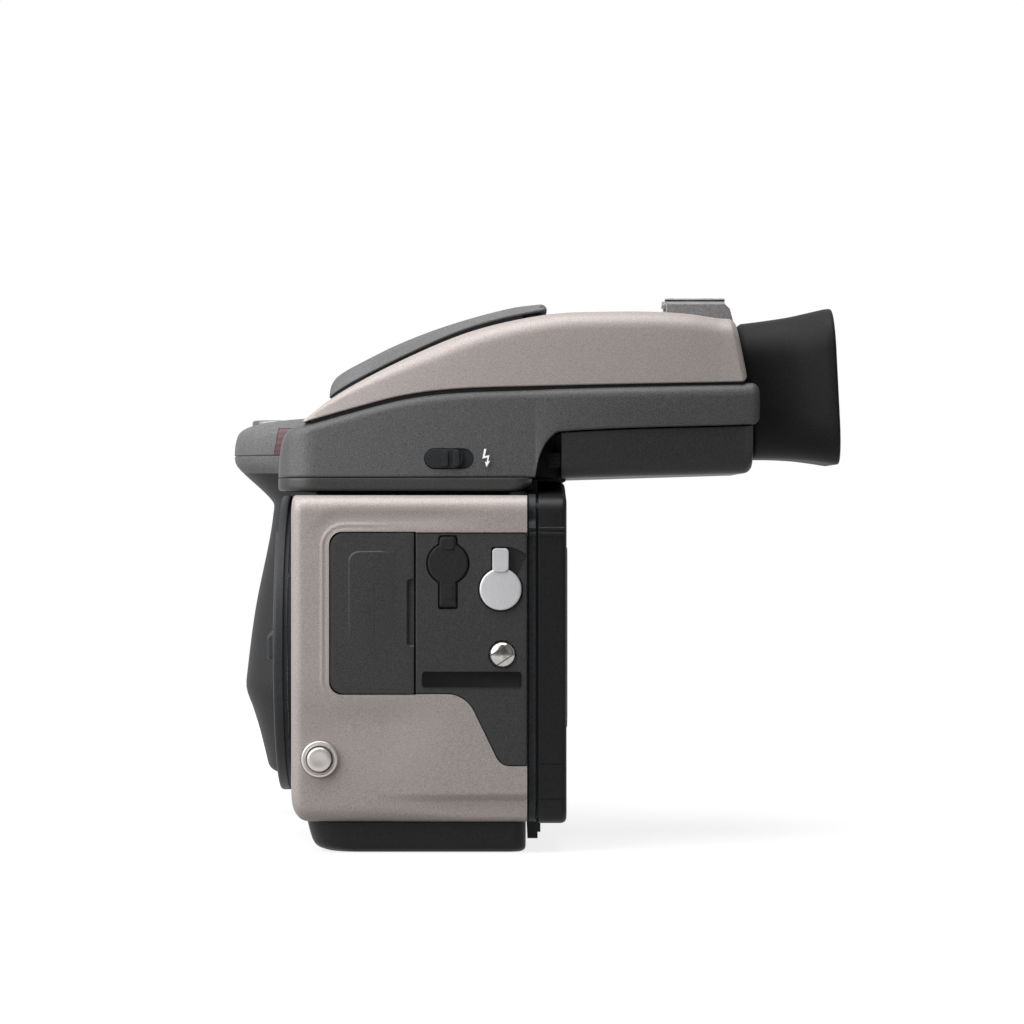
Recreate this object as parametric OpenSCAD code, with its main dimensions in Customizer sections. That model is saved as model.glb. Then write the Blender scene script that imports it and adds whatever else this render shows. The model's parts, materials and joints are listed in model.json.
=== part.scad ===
// Medium format reflex camera: body, removable prism finder, hand grip and both protective caps.
// Millimetres. +X is the camera's left side, -Y its front and +Z is up.
// The origin is the mouth of the large tripod socket, in the underside of the base.

/* [Body] */
// Width of the body shell
body_w = 96; // [92:1:104]
// Tripod axis to the front face of the shell
body_front = 29; // [28:0.5:34]
// Tripod axis to the back edge of the shell
body_back = 25.8; // [25:0.2:30]
// Height of the body shell
body_h = 75.8; // [75:0.2:82]
// Wall of the shell
shell_wall = 3; // [2.6:0.1:3.4]
// Round of the long edges of the shell
shell_corner_r = 6; // [5:0.5:7]
// Round of the upright front edges
front_edge_r = 4; // [3:0.25:5]
// Round of the top front edge
front_top_r = 2.4; // [1.5:0.1:3]
// Round of the bottom front edge
front_bottom_r = 5.5; // [4:0.25:6]

/* [Base] */
// Height of the foot under the shell
foot_h = 7.3; // [6:0.1:10]
// How far the foot stands in from the sides of the shell
foot_inset = 3.5; // [2:0.25:6]
// Run of the slope at the front of the foot
foot_slope = 4.6; // [3:0.2:6]
// Bore radius of the large (3/8 inch) tripod socket
tripod_r = 4.7625; // [4.7:0.0125:4.9]
// Bore radius of the small (1/4 inch) tripod socket
tripod_small_r = 3.175; // [3.1:0.0125:3.3]
// Wall of the tripod bushes
bush_wall = 2.2; // [1.5:0.1:3]
// Distance between the two tripod sockets
tripod_pitch = 15; // [14:0.5:16]

/* [Lens mount] */
// Height of the lens axis over the base
lens_h = 47.3; // [46.8:0.1:48]
// Outer radius of the mount flange
flange_r = 34.2; // [33.8:0.1:34.6]
// Thickness of the mount flange
flange_t = 2.2; // [2:0.1:3]
// Outer radius of the spigot behind the flange
spigot_r = 31; // [30.6:0.1:31.2]
// Throat radius of the mount
throat_r = 29; // [28.6:0.1:29.6]
// How far the three bayonet lugs reach into the throat
lug_reach = 1.2; // [0.8:0.1:1.6]
// Radius of the front cap
cap_r = 35.85; // [35.4:0.05:36.6]
// Thickness of the front cap
cap_t = 2.4; // [2:0.1:3.2]
// Height of the finger bar on the front cap
cap_bar_h = 6.2; // [4:0.2:9]
// Radius of the lens release button
release_r = 2.84; // [2.4:0.02:3.2]
// Wall of the bezel round the lens release button
release_rim = 1.4; // [1:0.1:1.8]
// Travel of the lens release button
release_travel = 1.5; // [1:0.1:2]

/* [Left side] */
// Thickness of the side panel
panel_t = 1.6; // [1.3:0.1:1.8]
// Top of the shell to the top of the door and the panel
panel_drop = 8.7; // [8:0.1:10]
// Height of the door and the panel
panel_h = 37.3; // [36:0.1:38]
// Width of the accessory door
door_w = 19.4; // [17:0.2:20]
// Thickness of the accessory door
door_t = 2; // [1.8:0.1:2.2]
// Radius of the sync socket cover
sync_r = 4.7; // [4.2:0.1:5]
// Width of the tab and the strap of the sync socket cover
sync_tab_w = 3.9; // [3:0.1:4.5]
// Radius of the back release lever
lever_r = 4.86; // [4.4:0.02:5.2]
// Length of the lever's tab from its pivot
lever_len = 9.5; // [8.5:0.1:10]
// Swing of the back release lever
lever_swing = 24; // [16:1:26]
// Radius of the strap lugs
lug_r = 3; // [2.6:0.1:3.4]
// Length of the blank name plate
plate_l = 23; // [18:0.5:23.5]

/* [Back] */
// Depth of the back frame
frame_d = 3; // [2.5:0.1:4]
// Width of the film gate
gate_w = 56; // [52:1:57]
// Height of the film gate
gate_h = 42; // [38:1:43]
// Depth of the back cover
cover_d = 6; // [5:0.2:8]
// Wall of the back cover
cover_wall = 2; // [1.6:0.1:2.4]
// How far the crown of the back cover rises over the shell
crown_h = 3.2; // [2:0.1:3.3]

/* [Mirror box] */
// Width of the mirror box
box_w = 70; // [68:0.5:71]
// Wall of the mirror box
box_wall = 3.5; // [3:0.1:4]
// Length of the reflex mirror from its pivot
mirror_l = 38; // [34:0.5:38.5]
// Width of the reflex mirror
mirror_w = 54; // [50:0.5:55]

/* [Finder] */
// Gap between the shell and the finder, filled by the seat
seat_h = 1; // [0.8:0.1:2]
// How far the finder stands out in front of the shell
finder_overhang = 3.7; // [2.5:0.1:5]
// Length of the finder
finder_len = 112.6; // [110:0.2:116]
// Width of the front part of the finder
finder_w = 85; // [82:0.5:87]
// Width of the rear part of the finder
finder_tail_w = 67; // [65:0.5:69]
// Height of the finder over its seat, without the accessory shoe
finder_h = 42.4; // [42:0.1:45]
// Height of the finder's base frame
finder_base_h = 3.1; // [2.6:0.1:3.3]
// Wall of the finder housings
finder_wall = 2.6; // [2.2:0.1:2.8]
// Half width of the flash lid
lid_half_w = 25; // [22:0.5:26]
// Travel of the flash switch
switch_travel = 2.3; // [1.5:0.1:2.4]
// Outer radius of the eyepiece barrel
barrel_r = 15; // [14.4:0.1:15.2]
// Radius of the eyepiece lens
eye_lens_r = 13; // [12:0.1:13.2]
// Length of the eyecup
eyecup_l = 21.6; // [18:0.2:24]
// Wall of the eyecup
eyecup_wall = 2; // [1.6:0.1:2.6]
// Height of the accessory shoe over the finder's roof line
shoe_h = 4.5; // [4.3:0.1:5.5]

/* [Grip] */
// How far the grip reaches from the side of the shell
grip_w = 55; // [52:0.5:58]
// Height of the grip's underside over the base
grip_low = 11.3; // [9:0.1:14]
// Height of the grip's head over its seam
head_h = 10.1; // [9.6:0.1:11]
// Width of the battery
battery_w = 39; // [36:0.5:41]
// Height of the battery
battery_h = 67; // [60:0.5:69]
// Radius of the shutter button
shutter_r = 5.5; // [5:0.1:6]
// Travel of the shutter button
shutter_travel = 1.2; // [0.8:0.1:1.6]
// Radius of the front control wheel
front_wheel_r = 5; // [4.6:0.1:5.2]
// Radius of the rear control wheel
rear_wheel_r = 8; // [7.4:0.1:8.4]
// Radius of the small buttons
button_r = 2.6; // [2.2:0.1:3]
// Travel of the small buttons
button_travel = 0.6; // [0.4:0.1:0.8]
// Length of the display window
display_l = 30; // [26:0.5:31]
// Width of the display window
display_w = 26; // [22:0.5:27]

/* [Clearances] */
// Gap round pieces that move
play = 0.35; // [0.3:0.05:0.4]
// Gap between fixed neighbours
ease = 0.2; // [0.1:0.05:0.25]
// Radial gap of a shaft in its bore
fit = 0.05; // [0.03:0.01:0.08]

/* [Hidden] */
$fn = 48;
over = 1;
arc_steps = 4;

// Planes of the body
front_y = -body_front;
rear_y = body_back;
side_x = body_w / 2;
body_z0 = foot_h;
body_z1 = foot_h + body_h;
inner_x = side_x - shell_wall;
inner_y = front_y + shell_wall;
inner_z0 = body_z0 + shell_wall;
inner_z1 = body_z1 - shell_wall;

// Lens mount, measured forward from the tripod axis
flange_front = body_front + flange_t;
cap_back = flange_front + 0.3;
cap_front = cap_back + cap_t;
cap_lip_t = 0.9;
cap_bar_t = 1.5;
cap_bar_l = 60;
skirt_r = 25;
skirt_t = 1.6;
skirt_l = 3.5;
mount_screw_ring = (flange_r + spigot_r) / 2;
mount_screw_r = 0.8;
mount_screw_head_r = 1.2;
mount_screw_head_t = 1;
mount_lug_t = 1.5;
mount_lug_back = 0.5;
mount_lug_root = 0.8;
mount_lug_arc = 40;
mount_lug_turn = 10;
lock_pin_r = 1.1;
lock_pin_angle = -20;
lock_pin_at = [0, lens_h] + mount_screw_ring * [cos(lock_pin_angle), sin(lock_pin_angle)];
box_throat_r = 25.5;
contact_count = 10;
contact_arc = 50;
contact_r = 0.5;
contact_h = 1.1;
contact_block = [0.6, 2.6];

// Lens release, on the left side near the front
release_at = [front_y + 6.75, body_z0 + 14.7];
release_flange_t = 1.3;
release_sink = 0.4;
bezel_barrel_r = release_r + 0.8;
release_foot_t = 1.2;

// Door and panel in the left side, as (Y, Z)
panel_z1 = body_z1 - panel_drop;
panel_z0 = panel_z1 - panel_h;
panel_x1 = side_x - ease;
panel_x0 = panel_x1 - panel_t;
door_split = 0.4;
panel_y0 = 0;
door_y1 = panel_y0 - door_split;
door_y0 = door_y1 - door_w;
door_x0 = panel_x1 - door_t;
door_hinge_in = 3.4;
door_axis = [door_x0 + door_t / 2, door_y0 + door_hinge_in];
door_edge = [0.25, 0.5];
door_swing_r = door_hinge_in + 0.5;
door_corner_r = 3.3;
door_pin_r = 0.5;
door_pin_reach = 2.2;
slot_len = 15.4;
slot_w = 1.5;
slot_d = 0.8;
socket_t = 4;
socket_rim = 1.6;
socket_well = [8, 8, 2.5];
panel_toe = [rear_y - 6.1, panel_z0 - 16.7];
panel_knee_y = panel_toe.x - 8.1;
panel_skew = tan(atan2(panel_z0 - panel_toe.y, panel_toe.x - panel_knee_y) / 2);
sync_at = [panel_y0 + 7.45, panel_z1 - 7.1];
sync_top = sync_at.y + 6.2;
sync_low = sync_at.y - 10.3;
sync_t = 1.4;
sync_x0 = panel_x0 + ease + 0.1;
sync_hinge = [sync_x0 + sync_t / 2, sync_low + sync_t / 2];
terminal_r = 3;
terminal_in = 2.4;
terminal_wall = 0.8;
terminal_pin_r = 0.5;
lever_at = [rear_y - 6.15, panel_z1 - 13.1];
lever_tab_w = 3.8;
lever_x0 = panel_x0 + ease + 0.1;
lever_x1 = side_x + 0.7;
lever_shaft_r = 1.5;
lever_shaft_x = inner_x - 2;
lug_at = [rear_y - 5.7, panel_z0 + 9.1];
lug_bar_w = 2.7;
lug_bar_angle = 33;
lug_head_t = 1.2;
lug_right_stud = 2.6;
plate_h = 3.7;
plate_t = 0.25;
plate_at = [panel_y0 + 1.4, panel_z0 + 1.45];

// Mirror box and what it carries
box_x = box_w / 2;
box_in_x = box_x - box_wall;
box_y0 = inner_y + ease;
box_y1 = rear_y - ease;
box_in_y0 = box_y0 + 3;
box_in_y1 = box_y1 - 3;
box_in_z0 = inner_z0 + box_wall;
box_in_z1 = inner_z1 - 3.2;
seat_z = body_z1 + seat_h;
collar_x = box_x - 3.2;
collar_y0 = box_y0 + 2;
collar_y1 = box_y1 - 4;
screen_margin = 2.6;
screen_t = 2.2;
screen_z = inner_z1 + 0.2;
screen_ledge = 1.7;
mirror_axis = [box_in_y1 - 5, inner_z1 - 10.1];
mirror_shaft_r = 1.5;
mirror_shaft_x = box_in_x + 1.8;
mirror_frame_t = 1.4;
mirror_glass_t = 1.2;
curtain_y = box_in_y1 - 1.4;
curtain_t = 0.8;
curtain_r = 0.6;
curtain_gap = 0.6;
curtain_x = gate_w / 2 + 1.5;
curtain_top = lens_h + gate_h / 2 - 1.3;
curtain_low = lens_h - gate_h / 2 + 1.3;
board_x = -(box_x + 6);
board_t = 1.5;
board_margin = 4;
board_low = 5;
board_post_r = 2;
board_post_z = 24;
chip = [7, 6, 1];
chip_z = 15;
motor_r = 4.5;
motor_l = 38;
motor_shaft_r = 1;
motor_shaft_l = 6;
sensor = [12, 8, 4];
sensor_eye_x = 6;
sensor_eye_r = 3;
sensor_eye_h = 1;
motor_at = [box_x + motor_r + 0.3, rear_y - 15.8];

// Foot and back
foot_x = side_x - foot_inset;
foot_y0 = front_y + 3.2;
foot_y1 = rear_y - 0.3;
foot_rings = [[0, 1, 2.5, 1.2], [0.09, 0.63, 1.4, 0.6], [0.24, 0.37, 0.7, 0.25], [0.5, 0.2, 0.3, 0],
    [1, 0, 0, 0]];
foot_radii = [8, 8, 3, 3];
base_screw_at = [34, 17];
base_screw_r = 1.4;
base_screw_head_r = 2.4;
base_screw_sink = 0.8;
base_screw_head_t = 2;
base_screw_room = 0.5;
frame_x = side_x - 2;
frame_y1 = rear_y + frame_d;
frame_corner_r = 5;
cover_y0 = frame_y1 + ease;
cover_y1 = cover_y0 + cover_d;
cover_z0 = body_z0 - 0.6;
crown_x = 16;
cover_ridge = [26, 21.5, 1.5];
cover_side_x = frame_x + ease;
cover_rim = 4;
cover_lip_z = body_z1 - 0.6;
crown_r = 20;
hook_x = 38;
hook_z = 2.8;
gate_rim = [1.5, 2];

// Finder: outline points are (distance behind its front, height over its seat)
finder_y0 = front_y - finder_overhang;
finder_half = finder_w / 2;
tail_half = finder_tail_w / 2;
finder_corner_r = 9;
finder_front_l = body_front + body_back + finder_overhang + 1.9;
taper = [18, finder_len];
cheek_turn = [finder_front_l - 12, finder_len];
cheek_under = 2;
seam_gap = 0.3;
side_lean = 1.5;
seam_line = [[0, 4.9], [0.25, 8], [0.8, 11.4], [1.7, 13.3], [3.3, 14.8], [6.3, 15.7], [14.9, 18.2],
    [28.9, 21.9], [40.5, 23.5], [finder_front_l - 3.5, 24.2], [finder_len, 25.6]];
ledge_line = [[finder_front_l, finder_base_h], [finder_front_l + 0.5, 6], [finder_front_l + 1.2, 8.5],
    [finder_front_l + 3.1, 11.9], [finder_front_l + 5.9, 13.9], [finder_len, 15.8]];
roof_tip = 6.3;
roof_line = [[roof_tip, 16.6], [14.3, finder_h - 19.6], [28.5, finder_h - 11.4], [45.1, finder_h - 4.3],
    [finder_front_l + 2.4, finder_h - 0.7], [finder_front_l + 15.4, finder_h], [finder_len - 21.4, finder_h],
    [finder_len - 4.9, finder_h - 1.4]];
roof_end = finder_len - 2.1;
roof_end_slope = 0.19;
tube_half = tail_half - cheek_under;
tube_y0 = finder_front_l + 2.8;
tube_wide = finder_front_l + 6.3;
tube_in = 0.6;
tube_nose = 4;
tube_end_round = 1.2;
tube_stations = [0, 0.14, 0.28, 0.42, 0.56, 0.7, 0.84, 0.95, 1];
tube_low = 2.9;
tube_rise = 1.4;
tube_end = finder_len - 0.7;
tube_wall = 3;
tube_floor = 3.5;
tube_corner_r = 5;
eye_axis_z = seat_z + 24.4;
barrel_y0 = finder_front_l + 18;
barrel_y1 = finder_len + 0.4;
barrel_y = [finder_y0 + barrel_y0, finder_y0 + barrel_y1];
lens_seat_l = 9;
lens_sink = 3;
lens_t = 5;
lens_bulge = 2;
lid_line = [[11.5, finder_h - 18.7], [13.9, finder_h - 14.5], [28.2, finder_h - 6.9], [40.2, finder_h - 2.6],
    [54.5, finder_h + 1.2], [finder_front_l + 1.6, finder_h + 2.2]];
lid_front = lid_line[0].x;
lid_nose = 7;
hinge_y = lid_line[5].x;
lid_gap = play;
hinge_r = 1.45;
hinge_pin_r = 0.6;
hinge_z = curve(roof_line, hinge_y) + lid_gap + hinge_r;
hinge_at = [finder_y0 + hinge_y, seat_z + hinge_z];
knuckle_x = 3.5;
knuckle_r = 1.2;
knuckle_h = 3.2;
head_half_w = 17;
head_span = [18.2, 31.7];
head_depth = 5;
head_pocket = [1, 3.6, 10];
prism_half = 24;
base_window = [22, 5];
housing_wall = [3.5, 4.7, 3];
cheek_t = 6;
cheek_in = 3.5;
cheek_l = 24;
switch_at = [finder_y0 + 40.3, seat_z + 7.55];
switch_slot = [11.6, 4.9];
switch_x0 = finder_half - 1.6;
switch_step = [0.7, 2.4, 0.4];
dial_at = [finder_y0 + finder_len - 12, seat_z + 20];
dial_r = 4;
dial_t = 3.2;
dial_in = 2.3;
dial_x = -finder_side(finder_len - 12) + dial_in;
dial_shaft_l = 3.4;
release_key = [finder_y0 + finder_front_l + 4.4, seat_z + 7.2];
key_size = [3, 3.2, 3.6];
key_travel = 1.8;
key_bore = 4;
key_shaft_in = 1.2;
cup_front = finder_len - 1.6;
cup_front_slope = 0.117;
cup_rear_slope = 0.05;
shoe_y0 = finder_len - 20.3;
shoe_y1 = finder_len - 5;
shoe_half = 11.2;
shoe_slot = [9.35, 2];
shoe_rail_t = 0.95;
shoe_lip = 6.3;
shoe_web = 0.6;
shoe_stop = 2.5;
shoe_nose = 1.2;
shoe_top = seat_z + finder_h + shoe_h;
shoe_shelf = shoe_top - shoe_rail_t - shoe_web;

// Grip, outline points are (height, offset)
grip_x = -side_x - ease;
grip_out = -side_x - grip_w;
seam_z = seat_z + 9.6;
head_z = seam_z + head_h;
grip_front_line = [[grip_low, -12], [21.6, -14.5], [28, -16.4], [33.1, -18.2], [37.6, -18], [54.3, -15.8],
    [71.6, -12.3], [seam_z - 14.7, -11.2], [seam_z - 11.7, -11.4], [seam_z - 4.2, -19.8],
    [seam_z - 2.2, -21.7], [seam_z, -22.2]];
grip_rear_line = [[grip_low, -13.8], [50, -14.8], [75, -10.8], [85, -5.8], [seam_z, -4.8]];
grip_out_line = [[grip_low, 8], [35, 5.5], [75, 3.5], [85, 1], [seam_z, 0]];
grip_radii = [15, 16, 1.5, 12];
grip_levels = [0, 0.9, 2.7, 10.3, 16.7, 21.7, 26.3, 34.7, 43, 51.7, 60.3, 67.7, 70.7, 74.2, 78.2, 80.2];
grip_span = 82.4;
grip_foot_round = [2.5, 0.9, 0];
head_levels = [[0, 22.2, 0], [0.37, 21.8, 0], [0.63, 20.8, 0.3], [0.77, 18.5, 1], [0.88, 14.5, 1.9],
    [0.95, 9.5, 2.8], [1, 4.5, 4.2]];
battery_x = grip_out + battery_w + 2;
head_back = 4.8;
battery_z1 = grip_low + battery_h;
rail_w = 10;
rail_t = 3.4;
rail_y = front_y + 26;
rail_top = battery_z1 - 3;
rail_low = grip_low + 4;
head_mid_x = grip_out + 27;
wheel_y = front_y + 1.5;
wheel_z = head_z - 3.8;
wheel_l = 12.4;
wheel_x = [head_mid_x - wheel_l / 2, head_mid_x + wheel_l / 2];
wheel_shaft_r = 1.2;
wheel_shaft_l = 2.4;
rear_wheel_at = [head_mid_x - 4, rear_y - 11.3];
rear_wheel_z = [seam_z + 1.9, seam_z + 6.9];
rear_shaft_r = 1.5;
rear_shaft_l = [1.3, 1];
well_z = seam_z + 1.5;
shutter_y = front_y - 12;
button_x = grip_x - 7.3;
button_row = [front_y + 15, front_y + 25, front_y + 35];
display_at = [head_mid_x - 1, front_y + 26];
display_t = 1.6;
lamp_y = [front_y - 9.6, front_y - 2];
lamp_z = [seam_z + 0.6, seam_z + 6.7];
lamp_t = 2;
lug_right_at = [front_y + 31, (battery_z1 + seam_z) / 2];
lug_right_x = grip_out + 2;
battery_key_at = [grip_x - 7.3, front_y + 15];
battery_key_r = 3;
battery_key_travel = 1.5;
battery_key_l = 5.1;
battery_key_z = grip_low - 0.9;

// A smooth curve through a list of points, read at one distance
function span_of(line, at, i = 0) =
    i >= len(line) - 2 || at < line[i + 1].x ? i : span_of(line, at, i + 1);
function slope_at(line, i) =
    let (a = line[max(i - 1, 0)], b = line[min(i + 1, len(line) - 1)]) (b.y - a.y) / (b.x - a.x);
function curve(line, at) =
    let (i = span_of(line, at), a = line[i], b = line[i + 1], h = b.x - a.x,
        u = max(0, min(1, (at - a.x) / h)), m = slope_at(line, i) * h, n = slope_at(line, i + 1) * h)
    (2 * u ^ 3 - 3 * u ^ 2 + 1) * a.y + (u ^ 3 - 2 * u ^ 2 + u) * m
        + (3 * u ^ 2 - 2 * u ^ 3) * b.y + (u ^ 3 - u ^ 2) * n;
function ramp(a, b, at) = let (u = max(0, min(1, (at - a) / (b - a)))) u * u * (3 - 2 * u);

// An outline with each corner rounded by its own radius
function unit(v) = v / norm(v);
function corner(a, p, b, r, steps) =
    let (u = unit(a - p), v = unit(b - p), half = acos(u * v) / 2, d = r / tan(half),
        c = p + unit(u + v) * r / sin(half), s = p + u * d - c, e = p + v * d - c,
        from = atan2(s.y, s.x), turn = (atan2(e.y, e.x) - from + 540) % 360 - 180)
    [for (i = [0:steps]) c + r * [cos(from + turn * i / steps), sin(from + turn * i / steps)]];
function rounded(points, radii, steps = arc_steps) =
    let (n = len(points))
    [for (i = [0:n - 1])
        each corner(points[(i + n - 1) % n], points[i], points[(i + 1) % n], radii[i], steps)];
function rectangle(x0, y0, x1, y1) = [[x0, y0], [x1, y0], [x1, y1], [x0, y1]];
function at_y(outline, y, slope = 0, level = 0) = [for (p = outline) [p.x, y - slope * (p.y - level), p.y]];
function at_z(outline, z) = [for (p = outline) [p.x, p.y, z]];

// A closed skin over a row of rings with equal counts of points
module loft(rings, flip = false) {
    n = len(rings[0]);
    m = len(rings);
    sides = [for (i = [0:m - 2], j = [0:n - 1]) let (a = i * n + j, b = i * n + (j + 1) % n)
        each [[a, a + n, b + n], [a, b + n, b]]];
    faces = concat([[for (j = [0:n - 1]) j]], sides, [[for (j = [n - 1:-1:0]) (m - 1) * n + j]]);
    polyhedron([for (r = rings) each r],
        flip ? [for (f = faces) [for (k = [len(f) - 1:-1:0]) f[k]]] : faces);
}

module box(a, b) translate(a) cube(b - a);
module rod_x(x0, x1, at, r) translate([x0, at.x, at.y]) rotate([0, 90, 0]) cylinder(h = x1 - x0, r = r);
module rod_y(y0, y1, at, r) translate([at.x, y0, at.y]) rotate([-90, 0, 0]) cylinder(h = y1 - y0, r = r);
module rod_z(z0, z1, at, r) translate([at.x, at.y, z0]) cylinder(h = z1 - z0, r = r);
module along_x(x0, x1, outline)
    translate([x0, 0, 0]) rotate([90, 0, 90]) linear_extrude(x1 - x0) polygon(outline);
module along_y(y0, y1, outline)
    translate([0, y1, 0]) rotate([90, 0, 0]) linear_extrude(y1 - y0) polygon(outline);
module around_lens() translate([0, 0, lens_h]) rotate([90, 0, 0]) children();

// Four mount screws stand on a ring round the throat
module at_mount_screws()
    around_lens() for (i = [0:3]) rotate(45 + 90 * i) translate([mount_screw_ring, 0, 0]) children();
module at_base_screws()
    for (x = [-1, 1], y = [-1, 1]) translate([x * base_screw_at.x, y * base_screw_at.y, 0]) children();
module lock_pin_hole(y0, y1) rod_y(y0, y1, lock_pin_at, lock_pin_r + fit);

// Outlines on the left side, grown by a gap, as (Y, Z)
function panel_outline(g, back) = rounded(
    [[panel_y0 - g, panel_z0 - g], [panel_knee_y - g * panel_skew, panel_z0 - g],
        [panel_toe.x - g * panel_skew, panel_toe.y - g], [back, panel_toe.y - g],
        [back, panel_z1 + g], [panel_y0 - g, panel_z1 + g]],
    [0.3, 7, 3.5, 0.3, 0.3, 0.3]);
function door_outline(g) = rounded(
    rectangle(door_y0 - g, panel_z0 - g, door_y1 + g, panel_z1 + g),
    [door_corner_r + g, 0.3, 0.3, door_corner_r + g]);
module sync_shape(g, x0, x1) {
    rod_x(x0, x1, sync_at, sync_r + g);
    box([x0, sync_at.x - sync_tab_w / 2 - g, sync_hinge.y],
        [x1, sync_at.x + sync_tab_w / 2 + g, sync_top + g]);
}
module lever_tab(g, x0, x1, turn)
    translate([0, lever_at.x, lever_at.y]) rotate([-turn, 0, 0])
        box([x0, -lever_tab_w / 2 - g, 0], [x1, lever_tab_w / 2 + g, lever_len + g]);

module shell_skin() {
    steps = 4;
    loft([for (i = [0:steps + 1])
        let (a = min(i, steps) * 90 / steps, in = 1 - sin(a),
            y = i > steps ? rear_y : front_y + front_edge_r * (1 - cos(a)),
            x = side_x - front_edge_r * in, r = shell_corner_r - front_edge_r * in,
            z0 = body_z0 + front_bottom_r * in, z1 = body_z1 - front_top_r * in)
        at_y(rounded(rectangle(-x, z0, x, z1), [r, r, r, r]), y)], true);
}

// Satin painted metal case, open at the back and under the finder
module body_shell() color("#958d8a") difference() {
    shell_skin();
    box([-inner_x, inner_y, inner_z0], [inner_x, rear_y + over, inner_z1]);
    box([-collar_x - ease, collar_y0 - ease, inner_z1 - over],
        [collar_x + ease, collar_y1 + ease, body_z1 + over]);
    rod_y(front_y - over, inner_y + over, [0, lens_h], spigot_r + fit);
    lock_pin_hole(front_y - over, inner_y + over);
    at_mount_screws() cylinder(h = flange_front, r = mount_screw_r + fit);
    along_x(panel_x0, side_x + over, panel_outline(ease, rear_y + over));
    along_x(inner_x - over, side_x + over, door_outline(play));
    box([panel_x0, door_y1 - over, panel_z0 - ease], [side_x + over, panel_y0 + over, panel_z1 + ease]);
    rod_z(panel_z0 - door_pin_reach, panel_z1 + door_pin_reach, door_axis, door_pin_r + fit);
    rod_x(inner_x - over, side_x + over, release_at, bezel_barrel_r + fit);
    rod_x(side_x - release_sink, side_x + over, release_at, release_r + release_rim + ease);
    rod_x(inner_x - over, side_x, sync_at, terminal_r + fit);
    rod_x(inner_x - over, side_x, lever_at, lever_shaft_r + fit);
    at_base_screws() cylinder(h = inner_z0 - base_screw_room, r = base_screw_r + fit);
}

// Cast mirror box with a collar through the shell that carries the finder
module chassis() color("#3a3b3d") difference() {
    union() {
        box([-box_x, box_y0, inner_z0], [box_x, box_y1, inner_z1 - ease]);
        box([-collar_x, collar_y0, box_in_z1], [collar_x, collar_y1, seat_z]);
        for (y = [-1, 1], z = [-1, 1])
            rod_x(board_x, -box_x + over,
                [y * (box_y1 - board_margin - 1.5 * board_post_r), lens_h + z * board_post_z], board_post_r);
    }
    box([-box_in_x, box_in_y0, box_in_z0], [box_in_x, box_in_y1, box_in_z1]);
    rod_y(box_y0 - over, box_in_y0 + over, [0, lens_h], box_throat_r);
    lock_pin_hole(box_y0 - over, box_in_y0 + release_travel + over);
    at_mount_screws() cylinder(h = flange_front, r = mount_screw_r + ease);
    box([-gate_w / 2, box_in_y1 - over, lens_h - gate_h / 2],
        [gate_w / 2, rear_y + over, lens_h + gate_h / 2]);
    screen_pocket(ease, seat_z + over);
    screen_pocket(-screen_ledge, screen_z + over, box_in_z1 - over);
    rod_x(-mirror_shaft_x - ease, mirror_shaft_x + ease, mirror_axis, mirror_shaft_r + fit);
    for (z = [curtain_top, curtain_low])
        rod_x(-mirror_shaft_x - ease, mirror_shaft_x + ease, [curtain_y, z], curtain_r + fit);
}

// Room for the focusing screen in the collar, grown by a gap
module screen_pocket(g, top, low = screen_z)
    box([-collar_x + screen_margin - g, collar_y0 + screen_margin - g, low],
        [collar_x - screen_margin + g, collar_y1 - screen_margin + g, top]);

// Bayonet ring with three lugs
module lens_mount() color("#b9babb") difference() {
    around_lens() {
        rotate_extrude() polygon([[throat_r, -inner_y], [spigot_r, -inner_y], [spigot_r, body_front],
            [flange_r, body_front], [flange_r, flange_front], [throat_r, flange_front]]);
        for (i = [0:2]) rotate(120 * i + mount_lug_turn) rotate_extrude(angle = mount_lug_arc)
            translate([throat_r - lug_reach, flange_front - mount_lug_back - mount_lug_t])
                square([lug_reach + mount_lug_root, mount_lug_t]);
    }
    at_mount_screws() cylinder(h = flange_front + over, r = mount_screw_r + fit);
    at_mount_screws() translate([0, 0, flange_front - mount_screw_head_t])
        cylinder(h = over + mount_screw_head_t, r = mount_screw_head_r + fit);
    lock_pin_hole(-flange_front - over, front_y + over);
}

module mount_screws() color("#8c8d8f") at_mount_screws() {
    translate([0, 0, -inner_y])
        cylinder(h = flange_front - mount_screw_head_t + inner_y, r = mount_screw_r);
    translate([0, 0, flange_front - mount_screw_head_t])
        cylinder(h = mount_screw_head_t - 0.1, r = mount_screw_head_r);
}

// Row of sprung contacts under the throat
module lens_contacts() color("#2b2b2c") around_lens() {
    start = 270 - contact_arc / 2;
    rotate(start) rotate_extrude(angle = contact_arc)
        translate([skirt_r + contact_block.x, -box_y0])
            square([throat_r - skirt_r - 2 * contact_block.x, contact_block.y]);
    for (i = [0:contact_count - 1]) rotate(start + contact_arc * (i + 0.5) / contact_count)
        translate([(skirt_r + throat_r) / 2, 0, -box_y0 + contact_block.y - contact_r])
            cylinder(h = contact_h, r = contact_r);
}

module lens_lock_pin() color("#c4c5c7")
    rod_y(-flange_front - ease, box_in_y0 - 0.1, lock_pin_at, lock_pin_r);

module release_bezel() color("#c2bdbb") difference() {
    union() {
        rod_x(side_x - release_sink, side_x + release_flange_t - release_sink, release_at,
            release_r + release_rim);
        rod_x(inner_x, side_x, release_at, bezel_barrel_r);
    }
    rod_x(inner_x - over, side_x + 2, release_at, release_r + fit);
}

module release_button() color("#b4b2b1") {
    x0 = inner_x - release_foot_t - ease;
    rod_x(x0, side_x + release_flange_t + release_travel - 0.3, release_at, release_r);
    rod_x(x0, inner_x - ease, release_at, bezel_barrel_r);
}

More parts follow.
